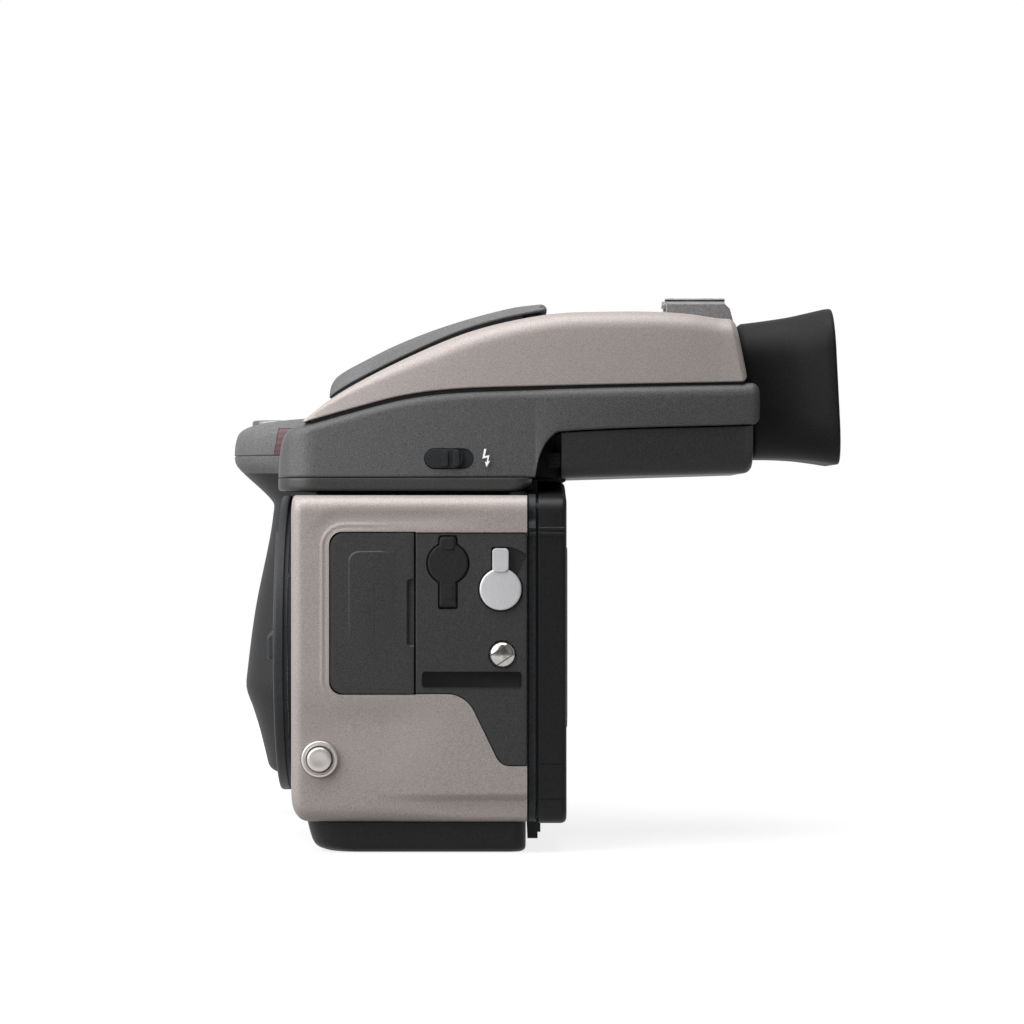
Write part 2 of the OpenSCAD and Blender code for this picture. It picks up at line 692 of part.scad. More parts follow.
module side_panel() color("#3d3d3d") difference() {
    along_x(panel_x0, panel_x1, panel_outline(0, rear_y));
    sync_shape(play, panel_x0 - over, side_x);
    box([panel_x0 - over, sync_at.x - sync_tab_w / 2 - play, sync_low - play],
        [side_x, sync_at.x + sync_tab_w / 2 + play, sync_at.y]);
    rod_x(panel_x0 - over, side_x, lever_at, lever_r + play);
    for (turn = [0, lever_swing / 2, lever_swing]) lever_tab(play, panel_x0 - over, side_x, turn);
    rod_x(panel_x0 - over, side_x, lug_at, lug_r + play);
}

module name_plate() color("#141414") along_x(panel_x1, panel_x1 + plate_t, rounded(
    rectangle(plate_at.x, plate_at.y, plate_at.x + plate_l, plate_at.y + plate_h), [0.6, 0.6, 0.6, 0.6]));

// Door over the accessory socket, turning on a pin set back from its front edge
module accessory_door() color("#3f3f3f") difference() {
    union() {
        along_x(door_x0, panel_x1 - door_edge.y, door_outline(0));
        along_x(door_x0, panel_x1, door_outline(-door_edge.x));
    }
    rod_z(panel_z0 - over, panel_z1 + over, door_axis, door_pin_r + fit);
    translate([panel_x1 - slot_d, door_y1 - slot_w, (panel_z0 + panel_z1 - slot_len) / 2])
        cube([slot_d + over, slot_w + over, slot_len]);
}

module door_hinge_pin() color("#c4c5c7")
    rod_z(panel_z0 - door_pin_reach + ease, panel_z1 + door_pin_reach - ease, door_axis, door_pin_r);

// Block with the accessory connector, seated on the inside of the shell
module accessory_socket() color("#1c1c1d") difference() {
    box([inner_x - socket_t, door_y0 - socket_rim, panel_z0 - socket_rim],
        [inner_x, door_y1 + socket_rim, panel_z1 + socket_rim]);
    box([inner_x - socket_well.z, door_y0 + socket_well.x, panel_z0 + socket_well.y],
        [inner_x + over, door_y1 - socket_well.x / 2, panel_z1 - socket_well.y]);
    rod_z(panel_z0 - play, panel_z1 + play, door_axis, door_swing_r);
}

module sync_terminal() color("#c9cacc") {
    difference() {
        rod_x(inner_x - terminal_in, panel_x0, sync_at, terminal_r);
        rod_x(inner_x - terminal_in / 2, side_x, sync_at, terminal_r - terminal_wall);
    }
    rod_x(inner_x - terminal_in / 2 - ease, panel_x0 - 2 * ease, sync_at, terminal_pin_r);
}

// Rubber cover that swings down on the foot of its strap
module sync_cover() color("#2a2a2a") {
    sync_shape(0, sync_x0, sync_x0 + sync_t);
    translate([sync_hinge.x, sync_at.x - sync_tab_w / 2, sync_hinge.y]) rotate([-90, 0, 0])
        cylinder(h = sync_tab_w, r = sync_t / 2);
}

module back_release_lever() color("#b8b8ba") {
    rod_x(lever_x0, lever_x1, lever_at, lever_r);
    lever_tab(0, lever_x0, lever_x1, 0);
    rod_x(lever_shaft_x, lever_x0, lever_at, lever_shaft_r);
}

// Round stud with a cross bar, drawn from its seat outward along +X
module strap_lug(stud_h) {
    rotate([0, 90, 0]) cylinder(h = stud_h, r = lug_r);
    intersection() {
        rotate([0, 90, 0]) cylinder(h = stud_h + lug_head_t, r = lug_r);
        rotate([lug_bar_angle, 0, 0])
            box([0, -lug_r, -lug_bar_w / 2], [stud_h + lug_head_t, lug_r, lug_bar_w / 2]);
    }
}
module strap_lug_left() color("#d0d1d3")
    translate([panel_x0, lug_at.x, lug_at.y]) strap_lug(panel_t);
module strap_lug_right() color("#d0d1d3")
    translate([lug_right_x, lug_right_at.x, lug_right_at.y]) mirror([1, 0, 0]) strap_lug(lug_right_stud);

// Black foot with a sloped nose, on the underside of the shell
module base_foot() color("#242424") difference() {
    loft([for (s = foot_rings)
        at_z(rounded(rectangle(-foot_x + s[2], foot_y0 + s[1] * foot_slope, foot_x - s[2], foot_y1 - s[3]),
            foot_radii), s[0] * foot_h)]);
    rod_z(-over, foot_h + over, [0, 0], tripod_r + bush_wall + fit);
    rod_z(-over, foot_h + over, [0, -tripod_pitch], tripod_small_r + bush_wall + fit);
    at_base_screws() translate([0, 0, -over]) {
        cylinder(h = foot_h + 2 * over, r = base_screw_r + fit);
        cylinder(h = over + base_screw_sink + base_screw_head_t, r = base_screw_head_r + ease);
    }
}

module tripod_bush(y, r) difference() {
    rod_z(0, foot_h, [0, y], r + bush_wall);
    rod_z(-over, foot_h + over, [0, y], r);
}
module tripod_bushes() color("#b4b5b7") {
    tripod_bush(0, tripod_r);
    tripod_bush(-tripod_pitch, tripod_small_r);
}

module base_screws() color("#77787a") at_base_screws() {
    translate([0, 0, base_screw_sink]) {
        cylinder(h = base_screw_head_t, r = base_screw_head_r);
        cylinder(h = inner_z0 - base_screw_sink - 2 * base_screw_room, r = base_screw_r);
    }
}

// Frame that the magazine or its cover hooks on to
module rear_frame() color("#242424") difference() {
    r = frame_corner_r;
    union() {
        along_y(rear_y, frame_y1, rounded(
            rectangle(-frame_x, body_z0 - 0.4, frame_x, body_z1 + 0.3), [r, r, r, r]));
        box([-hook_x, rear_y + 0.1, hook_z], [hook_x, frame_y1 - ease, body_z0]);
    }
    box([-gate_w / 2 - gate_rim.x, rear_y - over, lens_h - gate_h / 2 - gate_rim.y],
        [gate_w / 2 + gate_rim.x, frame_y1 + over, lens_h + gate_h / 2 + gate_rim.y]);
}

// Protective cover in the place of the magazine
module rear_cover() color("#212121") difference() {
    x = cover_side_x;
    r = cover_rim;
    union() {
        along_y(cover_y0, cover_y1, rounded(
            [[-x, cover_z0], [x, cover_z0], [x, cover_lip_z], [crown_x, body_z1 + crown_h],
                [-crown_x, body_z1 + crown_h], [-x, cover_lip_z]], [r, r, r, crown_r, crown_r, r]));
        box([-cover_ridge.x, cover_y1 - over, lens_h + 2 - cover_ridge.y],
            [cover_ridge.x, cover_y1 + cover_ridge.z, lens_h + 2 + cover_ridge.y]);
    }
    box([-x + r, cover_y0 - over, cover_z0 + r], [x - r, cover_y1 - cover_wall, cover_lip_z - r - 0.4]);
}

// Bayonet cap with a finger bar across its face
module front_cap() color("#525253") {
    around_lens() {
        rotate_extrude() polygon(concat(
            [[0, cap_back], [skirt_r - skirt_t, cap_back], [skirt_r - skirt_t, cap_back - skirt_l],
                [skirt_r, cap_back - skirt_l], [skirt_r, cap_back], [flange_r + 0.4, cap_back],
                [flange_r + 0.4, cap_back - cap_lip_t], [cap_r, cap_back - cap_lip_t]],
            corner([cap_r, cap_back], [cap_r, cap_front], [0, cap_front], 0.8, arc_steps), [[0, cap_front]]));
        translate([-cap_bar_l / 2, -cap_bar_h / 2, cap_front - ease])
            cube([cap_bar_l, cap_bar_h, cap_bar_t + ease]);
    }
}

// Mirror and its frame lie at 45 degrees, drawn flat and forward of the pivot first
module at_mirror() translate([0, mirror_axis.x, mirror_axis.y]) rotate([45, 0, 0]) children();
module reflex_mirror() color("#b9c2c8") at_mirror()
    box([-mirror_w / 2, -mirror_l, mirror_frame_t / 2],
        [mirror_w / 2, -2 * mirror_shaft_r, mirror_frame_t / 2 + mirror_glass_t]);
module mirror_frame() color("#4a4b4d") {
    at_mirror()
        box([-mirror_w / 2, -mirror_l, -mirror_frame_t / 2], [mirror_w / 2, 0, mirror_frame_t / 2]);
    rod_x(-mirror_shaft_x, mirror_shaft_x, mirror_axis, mirror_shaft_r);
}

// Two flaps that shield the film gate and swing clear with the mirror
module curtain(z, tip) {
    box([-curtain_x, curtain_y - curtain_t / 2, min(z, tip)],
        [curtain_x, curtain_y + curtain_t / 2, max(z, tip)]);
    rod_x(-mirror_shaft_x, mirror_shaft_x, [curtain_y, z], curtain_r);
}
module curtain_upper() color("#19191a") curtain(curtain_top, lens_h + curtain_gap / 2);
module curtain_lower() color("#19191a") curtain(curtain_low, lens_h - curtain_gap / 2);

module focusing_screen() color("#dfe5e8") screen_pocket(0, screen_z + screen_t);

module main_board() color("#1f4a35") {
    x = board_x - board_t;
    box([x, box_y0 + board_margin, inner_z0 + board_low],
        [board_x, box_y1 - board_margin, inner_z1 - board_low]);
    for (z = [lens_h - chip_z, lens_h + chip_z])
        box([x - chip.z, -chip.x, z - chip.y], [x + 0.1, chip.x, z + chip.y]);
}

module drive_motor() color("#9a9b9d") {
    rod_z(inner_z0 + ease, inner_z0 + ease + motor_l, motor_at, motor_r);
    rod_z(inner_z0 + motor_l, inner_z0 + motor_l + motor_shaft_l, motor_at, motor_shaft_r);
}

module af_sensor() color("#2c2d30") {
    z = box_in_z0 + sensor.z;
    box([-sensor.x, -sensor.y, box_in_z0], [sensor.x, sensor.y, z]);
    for (x = [-1, 1]) rod_z(z - 1, z + sensor_eye_h, [x * sensor_eye_x, 0], sensor_eye_r);
}

// Half width of the finder at a distance behind its front
function finder_side(d) = d < finder_corner_r
    ? finder_half - finder_corner_r + sqrt(finder_corner_r ^ 2 - (finder_corner_r - d) ^ 2)
    : finder_half - (finder_half - tail_half) * (max(d - taper.x, 0) / (taper.y - taper.x)) ^ 2;
function seam_at(d) = seat_z + curve(seam_line, d);
function ledge_at(d) = seat_z + (d <= finder_front_l ? finder_base_h : curve(ledge_line, d));
function roof_at(d) = seat_z + curve(roof_line, d);
function lid_at(d) = seat_z + curve(lid_line, d);

// Ring across the finder: lower half width, upper half width, heights and upper corner radius
function finder_ring(low_x, top_x, z0, z1, r) =
    rounded([[-low_x, z0], [low_x, z0], [top_x, z1], [-top_x, z1]], [0.3, 0.3, r, r]);

// Room for the lens mount and the front cap where the finder reaches over them
module mount_room() around_lens() translate([0, 0, body_front - ease])
    cylinder(h = cap_front + cap_bar_t + over, r = cap_r + play);

module finder_base() color("#3f3f3f") difference() {
    r = finder_corner_r;
    translate([0, 0, seat_z]) linear_extrude(finder_base_h) polygon(rounded(
        rectangle(-finder_half, finder_y0, finder_half, finder_y0 + finder_front_l - 0.7), [r, r, 4, 4]));
    mount_room();
    box([-base_window.x, collar_y0 + base_window.y, seat_z - over],
        [base_window.x, collar_y1 - base_window.y, seat_z + finder_base_h + over]);
}

// Lower housing round the prism, with two cheeks back to the eyepiece
module finder_housing() color("#58585a") difference() {
    loft([for (d = housing_stations())
        let (x = finder_side(d), turn = ramp(cheek_turn.x, cheek_turn.y, d), z0 = ledge_at(d), z1 = seam_at(d))
        at_y(finder_ring(x - cheek_under * turn, x - side_lean * (1 - turn), z0, z1, min(3, 0.45 * (z1 - z0))),
            finder_y0 + d)], true);
    box([-finder_half + housing_wall.x, finder_y0 + housing_wall.y, seat_z],
        [finder_half - housing_wall.x, finder_y0 + finder_front_l - housing_wall.z, seat_z + finder_h]);
    box([-tail_half + cheek_t, finder_y0 + finder_front_l - cheek_t, seat_z],
        [tail_half - cheek_t, finder_y0 + finder_len + over, seat_z + finder_h]);
    box([-tail_half + cheek_in, finder_y0 + finder_front_l - cheek_t, seat_z],
        [tail_half - cheek_in, finder_y0 + finder_front_l + cheek_l, seat_z + finder_h]);
    mount_room();
    switch_pocket();
    rod_x(-finder_half, dial_x + ease, dial_at, dial_r + play);
    rod_x(dial_x, -tail_half + cheek_t + over, dial_at, wheel_shaft_r + fit);
}
function housing_stations() = [0, 0.25, 0.8, 1.7, 3.3, 6.3, finder_corner_r, 14.9, 22, 28.9, 40.5, 50,
    finder_front_l - 3.5, finder_front_l, finder_front_l + 0.5, finder_front_l + 1.2,
    finder_front_l + 3.1, finder_front_l + 5.9, finder_front_l + 11, finder_front_l + 16,
    finder_front_l + 23, finder_front_l + 30, finder_front_l + 38, finder_front_l + 45, finder_len];

module switch_pocket() {
    half = (switch_slot.x - switch_slot.y) / 2;
    for (y = [-half, half])
        rod_x(switch_x0, finder_half + over, [switch_at.x + y, switch_at.y], switch_slot.y / 2);
    box([switch_x0, switch_at.x - half, switch_at.y - switch_slot.y / 2],
        [finder_half + over, switch_at.x + half, switch_at.y + switch_slot.y / 2]);
}

// Upper housing with the pocket for the flash and the knuckle of its hinge
module finder_top_cover() color("#928986") difference() {
    union() {
        loft(concat([for (d = roof_stations()) cover_ring(d, finder_y0 + d, 0)],
            [cover_ring(roof_end - 1, finder_y0 + roof_end, roof_end_slope)]), true);
        box([-knuckle_x, hinge_at.x - knuckle_r, hinge_at.y - knuckle_h],
            [knuckle_x, hinge_at.x + knuckle_r, hinge_at.y]);
        rod_x(-knuckle_x, knuckle_x, hinge_at, knuckle_r);
    }
    finder_hollow(finder_half - 9.5, 14.9, finder_front_l - 4);
    finder_hollow(tail_half - 6, finder_front_l - 6, finder_len - 6);
    box([-head_half_w - head_pocket.x, finder_y0 + head_span.x - head_pocket.y, seat_z + head_pocket.z],
        [head_half_w + head_pocket.x, finder_y0 + head_span.y + head_pocket.x, seat_z + finder_h]);
    rod_y(finder_y0 + barrel_y0, finder_y0 + finder_len, [0, eye_axis_z], barrel_r + ease);
    rod_x(-knuckle_x - over, knuckle_x + over, hinge_at, hinge_pin_r + fit);
}
function roof_stations() = [roof_tip, 9.5, 14.3, 21, 28.5, 36, 45.1, 54, finder_front_l + 2.4,
    finder_front_l + 8, finder_front_l + 15.4, finder_front_l + 22.5, finder_front_l + 30, finder_len - 15,
    finder_len - 12];
function cover_ring(d, y, slope) =
    let (x = finder_side(d) - side_lean - 0.3, z0 = seam_at(d) + seam_gap, z1 = roof_at(d), h = z1 - z0)
    at_y(finder_ring(x, x - 0.12 * h - 0.3, z0, z1, min(5, 0.45 * h)), y, slope, z0);
module finder_hollow(half, from, to) {
    steps = 6;
    floor_z = seat_z + finder_base_h + 1.9;
    roof = [for (i = [steps:-1:0])
        let (d = from + (to - from) * i / steps) [finder_y0 + d, roof_at(d) - finder_wall]];
    along_x(-half, half, concat([[finder_y0 + from, floor_z], [finder_y0 + to, floor_z]], roof));
}

// Cover under the eyepiece tube
function tube_side(d) = max(tube_half + 0.05,
    finder_side(d) - cheek_under * ramp(cheek_turn.x, cheek_turn.y, d) - tube_in);
function tube_low_at(d) = seat_z + tube_low + tube_rise * (d - tube_y0) / (tube_end - tube_y0);
module finder_tube_cover() color("#303030") difference() {
    y0 = finder_y0 + tube_y0;
    y1 = finder_y0 + tube_end;
    z0 = seat_z + tube_low;
    top = seat_z + 20;
    union() {
        loft([for (u = tube_stations)
            let (d = tube_wide + (tube_end - tube_wide) * u, x = tube_side(d),
                low = tube_low_at(d) + (u == 1 ? tube_end_round : 0))
            at_y(rounded(rectangle(-x, low, x, ledge_at(d) - seam_gap),
                [tube_corner_r, tube_corner_r, 0.3, 0.3]), finder_y0 + d)], true);
        intersection() {
            yn = finder_y0 + tube_wide + tube_nose;
            along_x(-tube_half, tube_half, rounded(
                [[y0, z0], [yn, z0 + 0.3], [yn, ledge_at(tube_wide) - 1.2], [y0, ledge_at(tube_y0) - 1.4]],
                [1.5, 0.3, 0.3, 0.3]));
            along_y(y0 - over, yn + over, rounded(
                rectangle(-tube_half, z0 - 0.5, tube_half, top), [tube_corner_r, tube_corner_r, 0.3, 0.3]));
        }
    }
    box([-tube_half + tube_wall, y0 + tube_wall, z0 + tube_floor],
        [tube_half - tube_wall, y1 - tube_wall, top]);
    rod_y(y1 - tube_wall - over, y1 + over, [0, eye_axis_z], barrel_r + ease);
    rod_x(tube_half - key_bore, tube_half + over, release_key, wheel_shaft_r + fit);
}

module finder_prism() color("#cfd8dc") {
    z = seat_z + finder_base_h;
    along_x(-prism_half, prism_half, [[collar_y0 + 3.8, z], [collar_y1 - 3.8, z],
        [collar_y1 + 2.2, z + 9], [collar_y1 + 2.2, z + 25], [collar_y1 - 9.8, z + finder_h - 14],
        [collar_y0 + 18, z + finder_h - 21.5], [collar_y0 + 3.8, z + 9.5]]);
}

module eyepiece_barrel() color("#1b1b1c") difference() {
    rod_y(barrel_y[0], barrel_y[1], [0, eye_axis_z], barrel_r);
    rod_y(barrel_y[0] - over, barrel_y[1] + over, [0, eye_axis_z], eye_lens_r - 1);
    rod_y(barrel_y[1] - lens_seat_l, barrel_y[1] + over, [0, eye_axis_z], eye_lens_r + fit);
}

// Plano-convex lens, flat side to the eye
module eyepiece_lens() color("#aebfca") {
    y = barrel_y[1] - lens_sink;
    ball = (eye_lens_r ^ 2 + lens_bulge ^ 2) / (2 * lens_bulge);
    intersection() {
        rod_y(y - lens_t, y, [0, eye_axis_z], eye_lens_r);
        translate([0, y - lens_t + ball, eye_axis_z]) sphere(r = ball, $fn = 96);
    }
}

// Soft flared cup behind the eyepiece; rings lean with the back of the finder
function cup_ring(d, half, low, high, slope, r) = at_y(
    rounded(rectangle(-half, eye_axis_z + low, half, eye_axis_z + high), [r, r, r, r]),
    finder_y0 + d, slope, eye_axis_z);
module eyecup() color("#242424") difference() {
    loft([cup_ring(cup_front, 22.3, -16.5, 15.9, cup_front_slope, 9),
        cup_ring(cup_front + eyecup_l * 0.25, 22.2, -16.5, 16.8, 0.1, 9),
        cup_ring(cup_front + eyecup_l * 0.55, 23, -16.8, 18, 0.08, 10),
        cup_ring(cup_front + eyecup_l * 0.8, 25, -17.6, 19.2, 0.06, 11),
        cup_ring(cup_front + eyecup_l * 0.93, 26, -17.9, 19.2, cup_rear_slope, 12),
        cup_ring(cup_front + eyecup_l, 25.2, -17, 18, cup_rear_slope, 11)], true);
    rod_y(finder_y0 + cup_front - 5, finder_y0 + cup_front + 8, [0, eye_axis_z], barrel_r + fit);
    w = eyecup_wall;
    loft([cup_ring(cup_front + 5, 22.2 - w, -16.5 + w, 16.2 - w, 0.1, 8),
        cup_ring(cup_front + eyecup_l * 0.55, 23 - w, -16.8 + w, 18 - w, 0.08, 9),
        cup_ring(cup_front + eyecup_l * 0.8, 25 - w, -17.6 + w, 19.2 - w, 0.06, 10),
        cup_ring(cup_front + eyecup_l + 2, 25.8 - w, -17.8 + w, 19 - w, cup_rear_slope, 10)], true);
}

// Accessory shoe: a moulded base with a channel, and the steel rails over it
module hot_shoe_base() color("#7f7c7d") difference() {
    steps = 4;
    run = shoe_y1 + 0.8 - shoe_y0;
    y1 = finder_y0 + shoe_y1;
    along_x(-shoe_half - 0.3, shoe_half + 0.3, concat(
        [for (i = [0:steps]) let (d = shoe_y0 + run * i / steps) [finder_y0 + d, roof_at(d) + 0.15]],
        [[y1, shoe_shelf - shoe_nose], [y1 - shoe_nose, shoe_shelf], [finder_y0 + shoe_y0, shoe_shelf]]));
    box([-shoe_slot.x, finder_y0 + shoe_y0 - over, shoe_shelf + shoe_web - shoe_slot.y],
        [shoe_slot.x, y1 - shoe_stop, shoe_shelf + over]);
}
module hot_shoe_rails() color("#d4d5d7") for (s = [-1, 1]) {
    y0 = finder_y0 + shoe_y0 - 0.4;
    y1 = finder_y0 + shoe_y1 - shoe_nose;
    x = [min(s * shoe_lip, s * shoe_half), max(s * shoe_lip, s * shoe_half)];
    web = [min(s * shoe_slot.x, s * shoe_half), max(s * shoe_slot.x, s * shoe_half)];
    box([x[0], y0, shoe_top - shoe_rail_t], [x[1], y1, shoe_top]);
    box([web[0], y0 + 0.4, shoe_shelf], [web[1], y1, shoe_shelf + shoe_web + 0.2]);
}

// Flash lid over the roof, turning on a pin at its back edge
function lid_stations() = [lid_front, 12.6, 13.9, 17.5, 21, 28.2, 34, 40.2, 47, 54.5, hinge_y - 3, hinge_y];
module flash_lid() color("#5a5a5c") difference() {
    union() {
        loft([for (d = lid_stations())
            let (x = lid_half_w - lid_nose * (1 - ramp(lid_front - 8, lid_front + 10, d)),
                z0 = roof_at(d) + lid_gap, z1 = lid_at(d))
            at_y(finder_ring(x, x - 0.6, z0, z1, 1.2), finder_y0 + d)], true);
        rod_x(-lid_half_w + 0.8, lid_half_w - 0.8, hinge_at, hinge_r - 0.05);
    }
    box([-knuckle_x - play, hinge_at.x - 2 * hinge_r, hinge_at.y - 3 * hinge_r],
        [knuckle_x + play, hinge_at.x + 2 * hinge_r, hinge_at.y + 3 * hinge_r]);
    rod_x(-lid_half_w, lid_half_w, hinge_at, hinge_pin_r + fit);
}
module flash_head() color("#dfe3e4") {
    steps = 4;
    at = [for (i = [0:steps]) head_span.x + (head_span.y - head_span.x) * i / steps];
    along_x(-head_half_w, head_half_w, concat(
        [for (d = at) [finder_y0 + d, roof_at(d) - head_depth]],
        [for (i = [steps:-1:0]) [finder_y0 + at[i], roof_at(at[i]) + 0.05]]));
}
module flash_hinge_pin() color("#c4c5c7")
    rod_x(-lid_half_w + hinge_r, lid_half_w - hinge_r, hinge_at, hinge_pin_r);

module flash_switch() color("#4a4a4c") {
    r = switch_slot.y / 2 - ease;
    y0 = switch_at.x - switch_slot.x / 2 + ease + r;
    y1 = y0 + switch_slot.x - switch_travel - 2 * ease - 2 * r;
    x = finder_half - ease;
    for (y = [y0, y1]) rod_x(switch_x0 + ease, x, [y, switch_at.y], r);
    box([switch_x0 + ease, y0, switch_at.y - r], [x, y1, switch_at.y + r]);
    box([x - ease, y0, switch_at.y - r + switch_step.z],
        [x + switch_step.x, y0 + switch_step.y, switch_at.y + r - switch_step.z]);
}

module diopter_wheel() color("#1f1f20") {
    x = dial_x;
    rod_x(x - dial_t, x, dial_at, dial_r);
    rod_x(x - 0.1, x + dial_shaft_l, dial_at, wheel_shaft_r);
}

module finder_release_button() color("#1a1a1b") {
    x = tube_half + key_travel + 2 * ease;
    box([x, release_key.x - key_size.y / 2, release_key.y - key_size.z / 2],
        [x + key_size.x, release_key.x + key_size.y / 2, release_key.y + key_size.z / 2]);
    rod_x(tube_half - key_shaft_in, x + 0.1, release_key, wheel_shaft_r);
}

// Ring of the grip at a height, drawn in by an inset
function grip_ring(z, front, rear, out, in) = at_z(rounded(
    rectangle(grip_out + out + in, front + in, grip_x - in, rear - in),
    [for (r = grip_radii) max(0.5, r - in)]), z);
module grip_skin() loft([for (i = [0:len(grip_levels)])
    let (z = i < len(grip_levels) ? grip_low + grip_levels[i] * (seam_z - grip_low) / grip_span : seam_z)
    grip_ring(z, front_y + curve(grip_front_line, z), rear_y + curve(grip_rear_line, z),
        curve(grip_out_line, z), i < len(grip_foot_round) ? grip_foot_round[i] : 0)]);
module head_skin() loft([for (s = head_levels)
    grip_ring(seam_z + s[0] * head_h, front_y - s[1], rear_y - head_back, 0, s[2])]);
module battery_room(g)
    box([grip_out - over, 2 * front_y, 0], [battery_x + g, 2 * rear_y, battery_z1 + g]);
module battery_rail(g, low)
    box([battery_x - over, rail_y - rail_w / 2 - g, low],
        [battery_x + rail_t + g, rail_y + rail_w / 2 + g, rail_top + g]);

// Fixed part of the grip beside the shell, with the guide for the battery
module grip_core() color("#434345") difference() {
    grip_skin();
    battery_room(play);
    battery_rail(play, 0);
    rod_z(0, battery_key_z + battery_key_l + battery_key_travel + ease, battery_key_at, battery_key_r + fit);
    rod_x(grip_out - over, lug_right_x, lug_right_at, lug_r + fit);
}

module battery_pack() color("#3f3f41") {
    intersection() {
        grip_skin();
        battery_room(0);
    }
    battery_rail(0, rail_low);
}

module battery_release() color("#6a6a6c")
    rod_z(battery_key_z, battery_key_z + battery_key_l, battery_key_at, battery_key_r);

module lamp_block(g)
    box([grip_x - lamp_t + g, lamp_y[0] + g, lamp_z[0] + g], [grip_x + over, lamp_y[1] - g, lamp_z[1] - g]);

// Head of the grip with the controls
module grip_top_cover() color("#6c6c6e") difference() {
    head_skin();
    lamp_block(0);
    rod_z(well_z, head_z + over, [head_mid_x, shutter_y], shutter_r + fit);
    box([wheel_x[0] - play, wheel_y - front_wheel_r - play, wheel_z],
        [wheel_x[1] + play, wheel_y + front_wheel_r + play, head_z + over]);
    rod_x(wheel_x[0] - play, wheel_x[1] + play, [wheel_y, wheel_z], front_wheel_r + play);
    rod_x(wheel_x[0] - wheel_shaft_l - ease, wheel_x[1] + wheel_shaft_l + ease, [wheel_y, wheel_z],
        wheel_shaft_r + fit);
    rod_z(rear_wheel_z[0] - play, rear_wheel_z[1] + play, rear_wheel_at, rear_wheel_r + play);
    rod_z(rear_wheel_z[0] - rear_shaft_l[0] - ease, rear_wheel_z[1] + rear_shaft_l[1] + ease, rear_wheel_at,
        rear_shaft_r + fit);
    for (y = button_row) rod_z(well_z + 0.5, head_z + over, [button_x, y], button_r + fit);
    display_block(ease, head_z + over);
}

module af_lamp_window() color("#7a2f33") intersection() {
    head_skin();
    lamp_block(0.1);
}

module display_block(g, top) box(
    [display_at.x - display_l / 2 - g, display_at.y - display_w / 2 - g, head_z - display_t],
    [display_at.x + display_l / 2 + g, display_at.y + display_w / 2 + g, top]);
module display_window() color("#3a4038") display_block(0, head_z + 0.15);

module shutter_button() color("#a9a9ab")
    rod_z(well_z + shutter_travel + ease, head_z + shutter_travel / 2, [head_mid_x, shutter_y], shutter_r);
module front_wheel() color("#1d1d1e") {
    rod_x(wheel_x[0], wheel_x[1], [wheel_y, wheel_z], front_wheel_r);
    rod_x(wheel_x[0] - wheel_shaft_l, wheel_x[1] + wheel_shaft_l, [wheel_y, wheel_z], wheel_shaft_r);
}
module rear_wheel() color("#1d1d1e") {
    rod_z(rear_wheel_z[0], rear_wheel_z[1], rear_wheel_at, rear_wheel_r);
    rod_z(rear_wheel_z[0] - rear_shaft_l[0], rear_wheel_z[1] + rear_shaft_l[1], rear_wheel_at, rear_shaft_r);
}
module small_button(i)
    rod_z(well_z + 0.5 + button_travel + ease, head_z + button_travel + ease,
        [button_x, button_row[i]], button_r);
module power_button() color("#b0b0b2") small_button(0);
module drive_button() color("#38383a") small_button(1);
module menu_button() color("#38383a") small_button(2);

body_shell();
chassis();
lens_mount();
mount_screws();
lens_contacts();
lens_lock_pin();
release_bezel();
release_button();
side_panel();
name_plate();
accessory_door();
door_hinge_pin();
accessory_socket();
sync_terminal();
sync_cover();
back_release_lever();
strap_lug_left();
strap_lug_right();
base_foot();
tripod_bushes();
base_screws();
rear_frame();
rear_cover();
front_cap();
reflex_mirror();
mirror_frame();
curtain_upper();
curtain_lower();
focusing_screen();
main_board();
drive_motor();
af_sensor();
finder_base();
finder_housing();
finder_top_cover();
finder_tube_cover();
finder_prism();
eyepiece_barrel();
eyepiece_lens();
eyecup();
hot_shoe_base();
hot_shoe_rails();
flash_lid();
flash_head();
flash_hinge_pin();
flash_switch();
diopter_wheel();
finder_release_button();
grip_core();
grip_top_cover();
af_lamp_window();
display_window();
shutter_button();
front_wheel();
rear_wheel();
power_button();
drive_button();
menu_button();
battery_pack();
battery_release();
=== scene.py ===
import json
from math import asin, atan2, cos, exp, hypot, pi, radians, sin, sqrt, tan

import bmesh
import bpy
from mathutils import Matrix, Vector


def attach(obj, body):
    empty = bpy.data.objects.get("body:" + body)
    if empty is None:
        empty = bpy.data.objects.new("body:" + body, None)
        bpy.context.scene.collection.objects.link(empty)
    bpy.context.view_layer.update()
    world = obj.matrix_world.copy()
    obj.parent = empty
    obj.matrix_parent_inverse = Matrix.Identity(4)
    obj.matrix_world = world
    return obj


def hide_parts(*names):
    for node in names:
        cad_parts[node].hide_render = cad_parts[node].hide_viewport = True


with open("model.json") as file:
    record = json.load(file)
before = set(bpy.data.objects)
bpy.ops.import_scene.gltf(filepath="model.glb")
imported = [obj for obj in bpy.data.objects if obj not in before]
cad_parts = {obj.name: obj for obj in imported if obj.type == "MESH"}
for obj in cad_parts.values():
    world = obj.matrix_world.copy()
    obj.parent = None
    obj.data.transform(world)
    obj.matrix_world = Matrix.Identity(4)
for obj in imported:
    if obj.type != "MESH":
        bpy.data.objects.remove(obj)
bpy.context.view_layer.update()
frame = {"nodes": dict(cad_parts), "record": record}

# Mirror box
# A light alloy casting, anodised black, that carries the mount, the mirror and the finder's seat.
# The mirror is silvered glass on a thin alloy plate; two dark flaps behind it shield the image gate.
body_of = {n: b for b, nodes in frame["record"]["behaviour"]["bodies"].items() for n in nodes}
